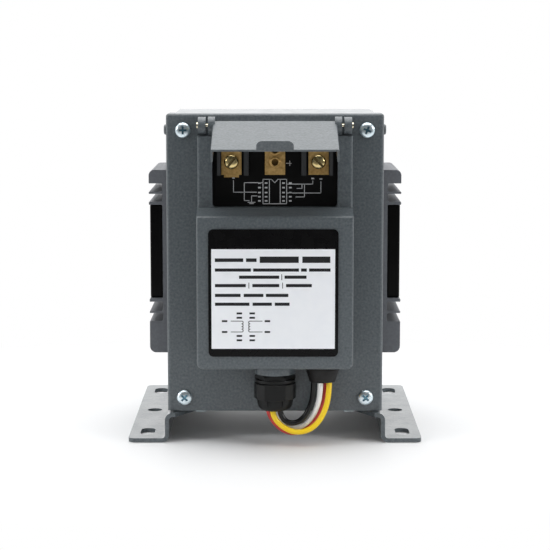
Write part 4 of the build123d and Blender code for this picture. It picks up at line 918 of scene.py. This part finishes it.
def winding_marks():
    marks = []
    radius = (COIL_FOOT - COIL_TOP) / COIL_BUMPS / 2
    for side, lead_end, bulge in COIL_SIDES:
        bumps = [(side, -COIL_TOP)]
        for bump in range(COIL_BUMPS):
            middle = COIL_TOP + radius * (2 * bump + 1)
            bumps += [(side - bulge * radius * math.sin(a), -middle + radius * math.cos(a))
                      for a in BUMP_ANGLES]
        marks += line_marks(bumps, LINE_WIDTH)
        for level in (COIL_TOP, COIL_FOOT):
            marks += line_marks([(side, -level), (lead_end, -level)], LINE_WIDTH)
    return marks + [(x, -down, TAG_LENGTH, TAG_HEIGHT, 0.0) for x, down in TAG_PLACES]


label_corner = Vector((field_low.x, field_low.y, field_high.z))
print_marks("label_print", label_marks + winding_marks(), label_corner, INK_THICKNESS, LABEL_INK)

# %% [markdown]
# On the floor of the terminal recess a thin white diagram shows how the terminals are wired: a plug-in
# unit with two rows of pads, lines to the terminals and an earth sign. Curves with a bevel would do as
# well, but bars from the same tree stay flat as print is. The lines are given in millimetres from the
# middle of the block's lower edge.

# %% Wiring diagram
BLOCK_FLOOR_AHEAD = 1.5 * MM
DIAGRAM_WIDTH = 0.34
DIAGRAM_LINES = (
    ((-20.0, 12.4), (-20.0, 6.8), (-8.9, 6.8)),
    ((-5.8, 11.4), (-14.8, 11.4), (-14.8, 2.7), (-12.5, 2.7)),
    ((-8.7, 5.0), (-11.3, 5.0), (-11.3, 1.9)),
    ((-13.0, 1.9), (-9.6, 1.9)),
    ((-12.2, 1.3), (-10.4, 1.3)),
    ((-5.8, 13.0), (-1.7, 13.0), (-0.1, 11.3), (1.4, 13.0), (5.6, 13.0), (5.6, 1.2), (-5.8, 1.2),
     (-5.8, 13.0)),
    ((-2.7, 13.0), (-2.7, 1.2)),
    ((2.5, 13.0), (2.5, 1.2)),
    ((5.6, 10.7), (18.2, 10.7), (18.2, 12.2)),
    ((5.6, 6.4), (22.1, 6.4), (22.1, 11.8)),
    ((14.2, 10.7), (14.2, 4.5), (10.1, 4.5)),
    ((10.6, 8.6), (13.0, 8.6), (13.0, 10.7)),
    ((5.4, 20.7), (7.8, 20.7)),
    ((7.1, 21.8), (7.1, 19.6)),
)
PAD_LENGTH = 1.3
PAD_HEIGHT = 0.7
PAD_COLUMNS = (-7.5, -4.3, 4.1, 7.4)
PAD_LEVELS = (11.2, 9.0, 6.6, 4.6, 2.6)
TERMINAL_TAGS = ((-20.0, 13.6), (18.2, 13.4), (22.1, 13.2))

# White marking ink on a black moulding: thin, so it stays a little grey.
MARKING_INK = moulded("white_marking_ink", "#D0D2D4", "#DEE0E2", roughness=0.5, specular=0.3, patch_mm=2.0,
                      grain_mm=0.5, strength=0.15)
diagram = [mark for line in DIAGRAM_LINES for mark in line_marks(line, DIAGRAM_WIDTH)]
pads = [(x, up) for x in PAD_COLUMNS for up in PAD_LEVELS]
diagram += [(x, up, PAD_LENGTH, PAD_HEIGHT, 0.0) for x, up in (*pads, *TERMINAL_TAGS)]
block_corner = Vector((0, panel_face - BLOCK_FLOOR_AHEAD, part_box("terminal_block")[0].z))
print_marks("terminal_diagram", diagram, block_corner, 2 * INK_THICKNESS, MARKING_INK)

# %% [markdown]
# The object stands on a white table, whose light grey the lamps lift to white, so it keeps a soft shadow.
# A plain white floor all round would turn the black mouldings grey, because they mirror it. So the table
# ends a little ahead of the object, where a studio is dark, while the camera and mirror rays to the rear
# still see white. The white fades in round the object, and only the shadow under it is left.

# %% Table
FLOOR_HALF = 4.0
FLOOR_DROP = 0.2 * MM
FLOOR_ROUGHNESS = 0.6
TABLE_TONE = "#EAEBEC"
DARK_TONE = "#686868"
TABLE_EDGE = -0.24
DARK_EDGE = -0.48
FADE_START = 0.1
FADE_END = 0.42
FADE_SQUEEZE = (1.0, 1.8, 1.0)
SHADOW_LIFT = 0.025
WHITE = (1, 1, 1, 1)


def table_material():
    """Paper-white table top: flat and even, with white fading in away from the object."""
    material, tree, shader, place = new_material("white_studio_table")
    shader.inputs["Roughness"].default_value = FLOOR_ROUGHNESS
    rays = add(tree, "ShaderNodeLightPath").outputs
    depth = add(tree, "ShaderNodeSeparateXYZ", {0: place}).outputs["Y"]
    edge = {"Value": depth, "From Min": DARK_EDGE, "From Max": TABLE_EDGE}
    behind = add(tree, "ShaderNodeMapRange", edge, interpolation_type="SMOOTHSTEP").outputs["Result"]
    lit = add(tree, "ShaderNodeMath", {0: behind, 1: rays["Is Camera Ray"]}, operation="MAXIMUM").outputs[0]
    tones = {"Factor": lit, COLOUR_A: colour(DARK_TONE), COLOUR_B: colour(TABLE_TONE)}
    tone = add(tree, "ShaderNodeMix", tones, data_type="RGBA").outputs[COLOUR_RESULT]
    tree.links.new(tone, shader.inputs["Base Color"])
    either = {0: rays["Is Glossy Ray"], 1: rays["Is Transmission Ray"]}
    bent = add(tree, "ShaderNodeMath", either, operation="MAXIMUM").outputs[0]
    mirror = add(tree, "ShaderNodeMath", {0: bent, 1: behind}, operation="MULTIPLY").outputs[0]
    shown = {0: mirror, 1: rays["Is Camera Ray"]}
    plain = add(tree, "ShaderNodeMath", shown, operation="MAXIMUM").outputs[0]
    oval = add(tree, "ShaderNodeMapping", {"Vector": place, "Scale": FADE_SQUEEZE}).outputs["Vector"]
    reach = add(tree, "ShaderNodeVectorMath", {0: oval}, operation="LENGTH").outputs["Value"]
    ring = {"Value": reach, "From Min": FADE_START, "From Max": FADE_END, "To Min": SHADOW_LIFT}
    fade = add(tree, "ShaderNodeMapRange", ring, interpolation_type="SMOOTHSTEP").outputs["Result"]
    seen = add(tree, "ShaderNodeMath", {0: fade, 1: plain}, operation="MULTIPLY").outputs[0]
    white = add(tree, "ShaderNodeEmission", {"Color": WHITE, "Strength": 1.0}).outputs["Emission"]
    mixed = add(tree, "ShaderNodeMixShader", {0: seen, 1: shader.outputs["BSDF"], 2: white}).outputs[0]
    output = next(node for node in tree.nodes if node.type == "OUTPUT_MATERIAL")
    tree.links.new(mixed, output.inputs["Surface"])
    return material


table = bpy.data.meshes.new("floor")
table_corners = [(x * FLOOR_HALF, y * FLOOR_HALF, 0) for x, y in ((-1, -1), (1, -1), (1, 1), (-1, 1))]
table.from_pydata(table_corners, [], [(0, 1, 2, 3)])
table.materials.append(table_material())
floor = bpy.data.objects.new("floor", table)
floor.location.z = -FLOOR_DROP
scene.collection.objects.link(floor)
print("table: white to y =", TABLE_EDGE)

# %% [markdown]
# The surround is a white room that the camera sees at full strength. For light on the object it is dim, so
# that the lamps shape it. Mirror rays see it white at the rear and dark ahead, as in a studio, and that
# keeps the black label and terminal block black. A Mix node's number sockets are known by number too.

# %% Surround
FLOAT_A = 2
FLOAT_B = 3
FLOAT_RESULT = 0
AMBIENT = 0.2
FRONT_MIRROR = 0.15
DARK_AHEAD = -0.6
WHITE_BEHIND = 0.2


def studio_world():
    world = bpy.data.worlds.new("white_surround")
    world.use_nodes = True
    tree = world.node_tree
    tree.nodes.clear()
    rays = add(tree, "ShaderNodeLightPath").outputs
    either = {0: rays["Is Camera Ray"], 1: rays["Is Transmission Ray"]}
    plain = add(tree, "ShaderNodeMath", either, operation="MAXIMUM").outputs[0]
    way = add(tree, "ShaderNodeTexCoord").outputs["Generated"]
    depth = add(tree, "ShaderNodeSeparateXYZ", {0: way}).outputs["Y"]
    span = {"Value": depth, "From Min": DARK_AHEAD, "From Max": WHITE_BEHIND, "To Min": FRONT_MIRROR,
            "To Max": 1.0}
    behind = add(tree, "ShaderNodeMapRange", span, interpolation_type="SMOOTHSTEP").outputs["Result"]
    mirror = add(tree, "ShaderNodeMix", {"Factor": rays["Is Glossy Ray"], FLOAT_A: AMBIENT, FLOAT_B: behind})
    level = {"Factor": plain, FLOAT_A: mirror.outputs[FLOAT_RESULT], FLOAT_B: 1.0}
    strength = add(tree, "ShaderNodeMix", level).outputs[FLOAT_RESULT]
    sky = add(tree, "ShaderNodeBackground", {"Color": WHITE, "Strength": strength}).outputs[0]
    add(tree, "ShaderNodeOutputWorld", {"Surface": sky})
    return world


scene.world = studio_world()
print("surround:", scene.world.name, "with ambient", AMBIENT)

# %% [markdown]
# Four soft lamps light it. A wide one overhead makes the shadow soft. A wide one far behind is mirrored at
# a low angle in the tops of the case, flap and feet, which makes them pale. Two smaller, brighter ones
# stand far out to the sides and draw the thin bright lines along the bends. A picture of a room could
# light it too, but lamps are easier to tune one by one.

# %% Lamps
BOX_MIDDLE = (0.0, -0.06, 0.09)
SIDE_LAMP_REACH = 1.3


def soft_lamp(name, place, aim, side, radiance):
    """A square lamp that faces a point. Its power follows from its radiance and its area."""
    data = bpy.data.lights.new(name, "AREA")
    data.shape = "SQUARE"
    data.size = side
    data.energy = radiance * math.pi * side * side
    lamp = bpy.data.objects.new(name, data)
    lamp.location = place
    lamp.rotation_euler = (Vector(aim) - Vector(place)).to_track_quat("-Z", "Y").to_euler()
    scene.collection.objects.link(lamp)
    print(name, "gives", round(data.energy, 1), "W")


soft_lamp("lamp_overhead", place=(0.0, 0.0, 1.3), aim=(0.0, 0.0, 0.0), side=1.7, radiance=2.7)
soft_lamp("lamp_behind", place=(0.0, 1.9, 1.0), aim=(0.0, 0.0, 1.0), side=2.0, radiance=0.9)
for name, x in (("lamp_left", -SIDE_LAMP_REACH), ("lamp_right", SIDE_LAMP_REACH)):
    soft_lamp(name, place=(x, -0.6, 0.55), aim=BOX_MIDDLE, side=0.34, radiance=17.5)

# %% [markdown]
# Last, the script prints a line to say that it has reached its end.

# %% The end
print("the end")
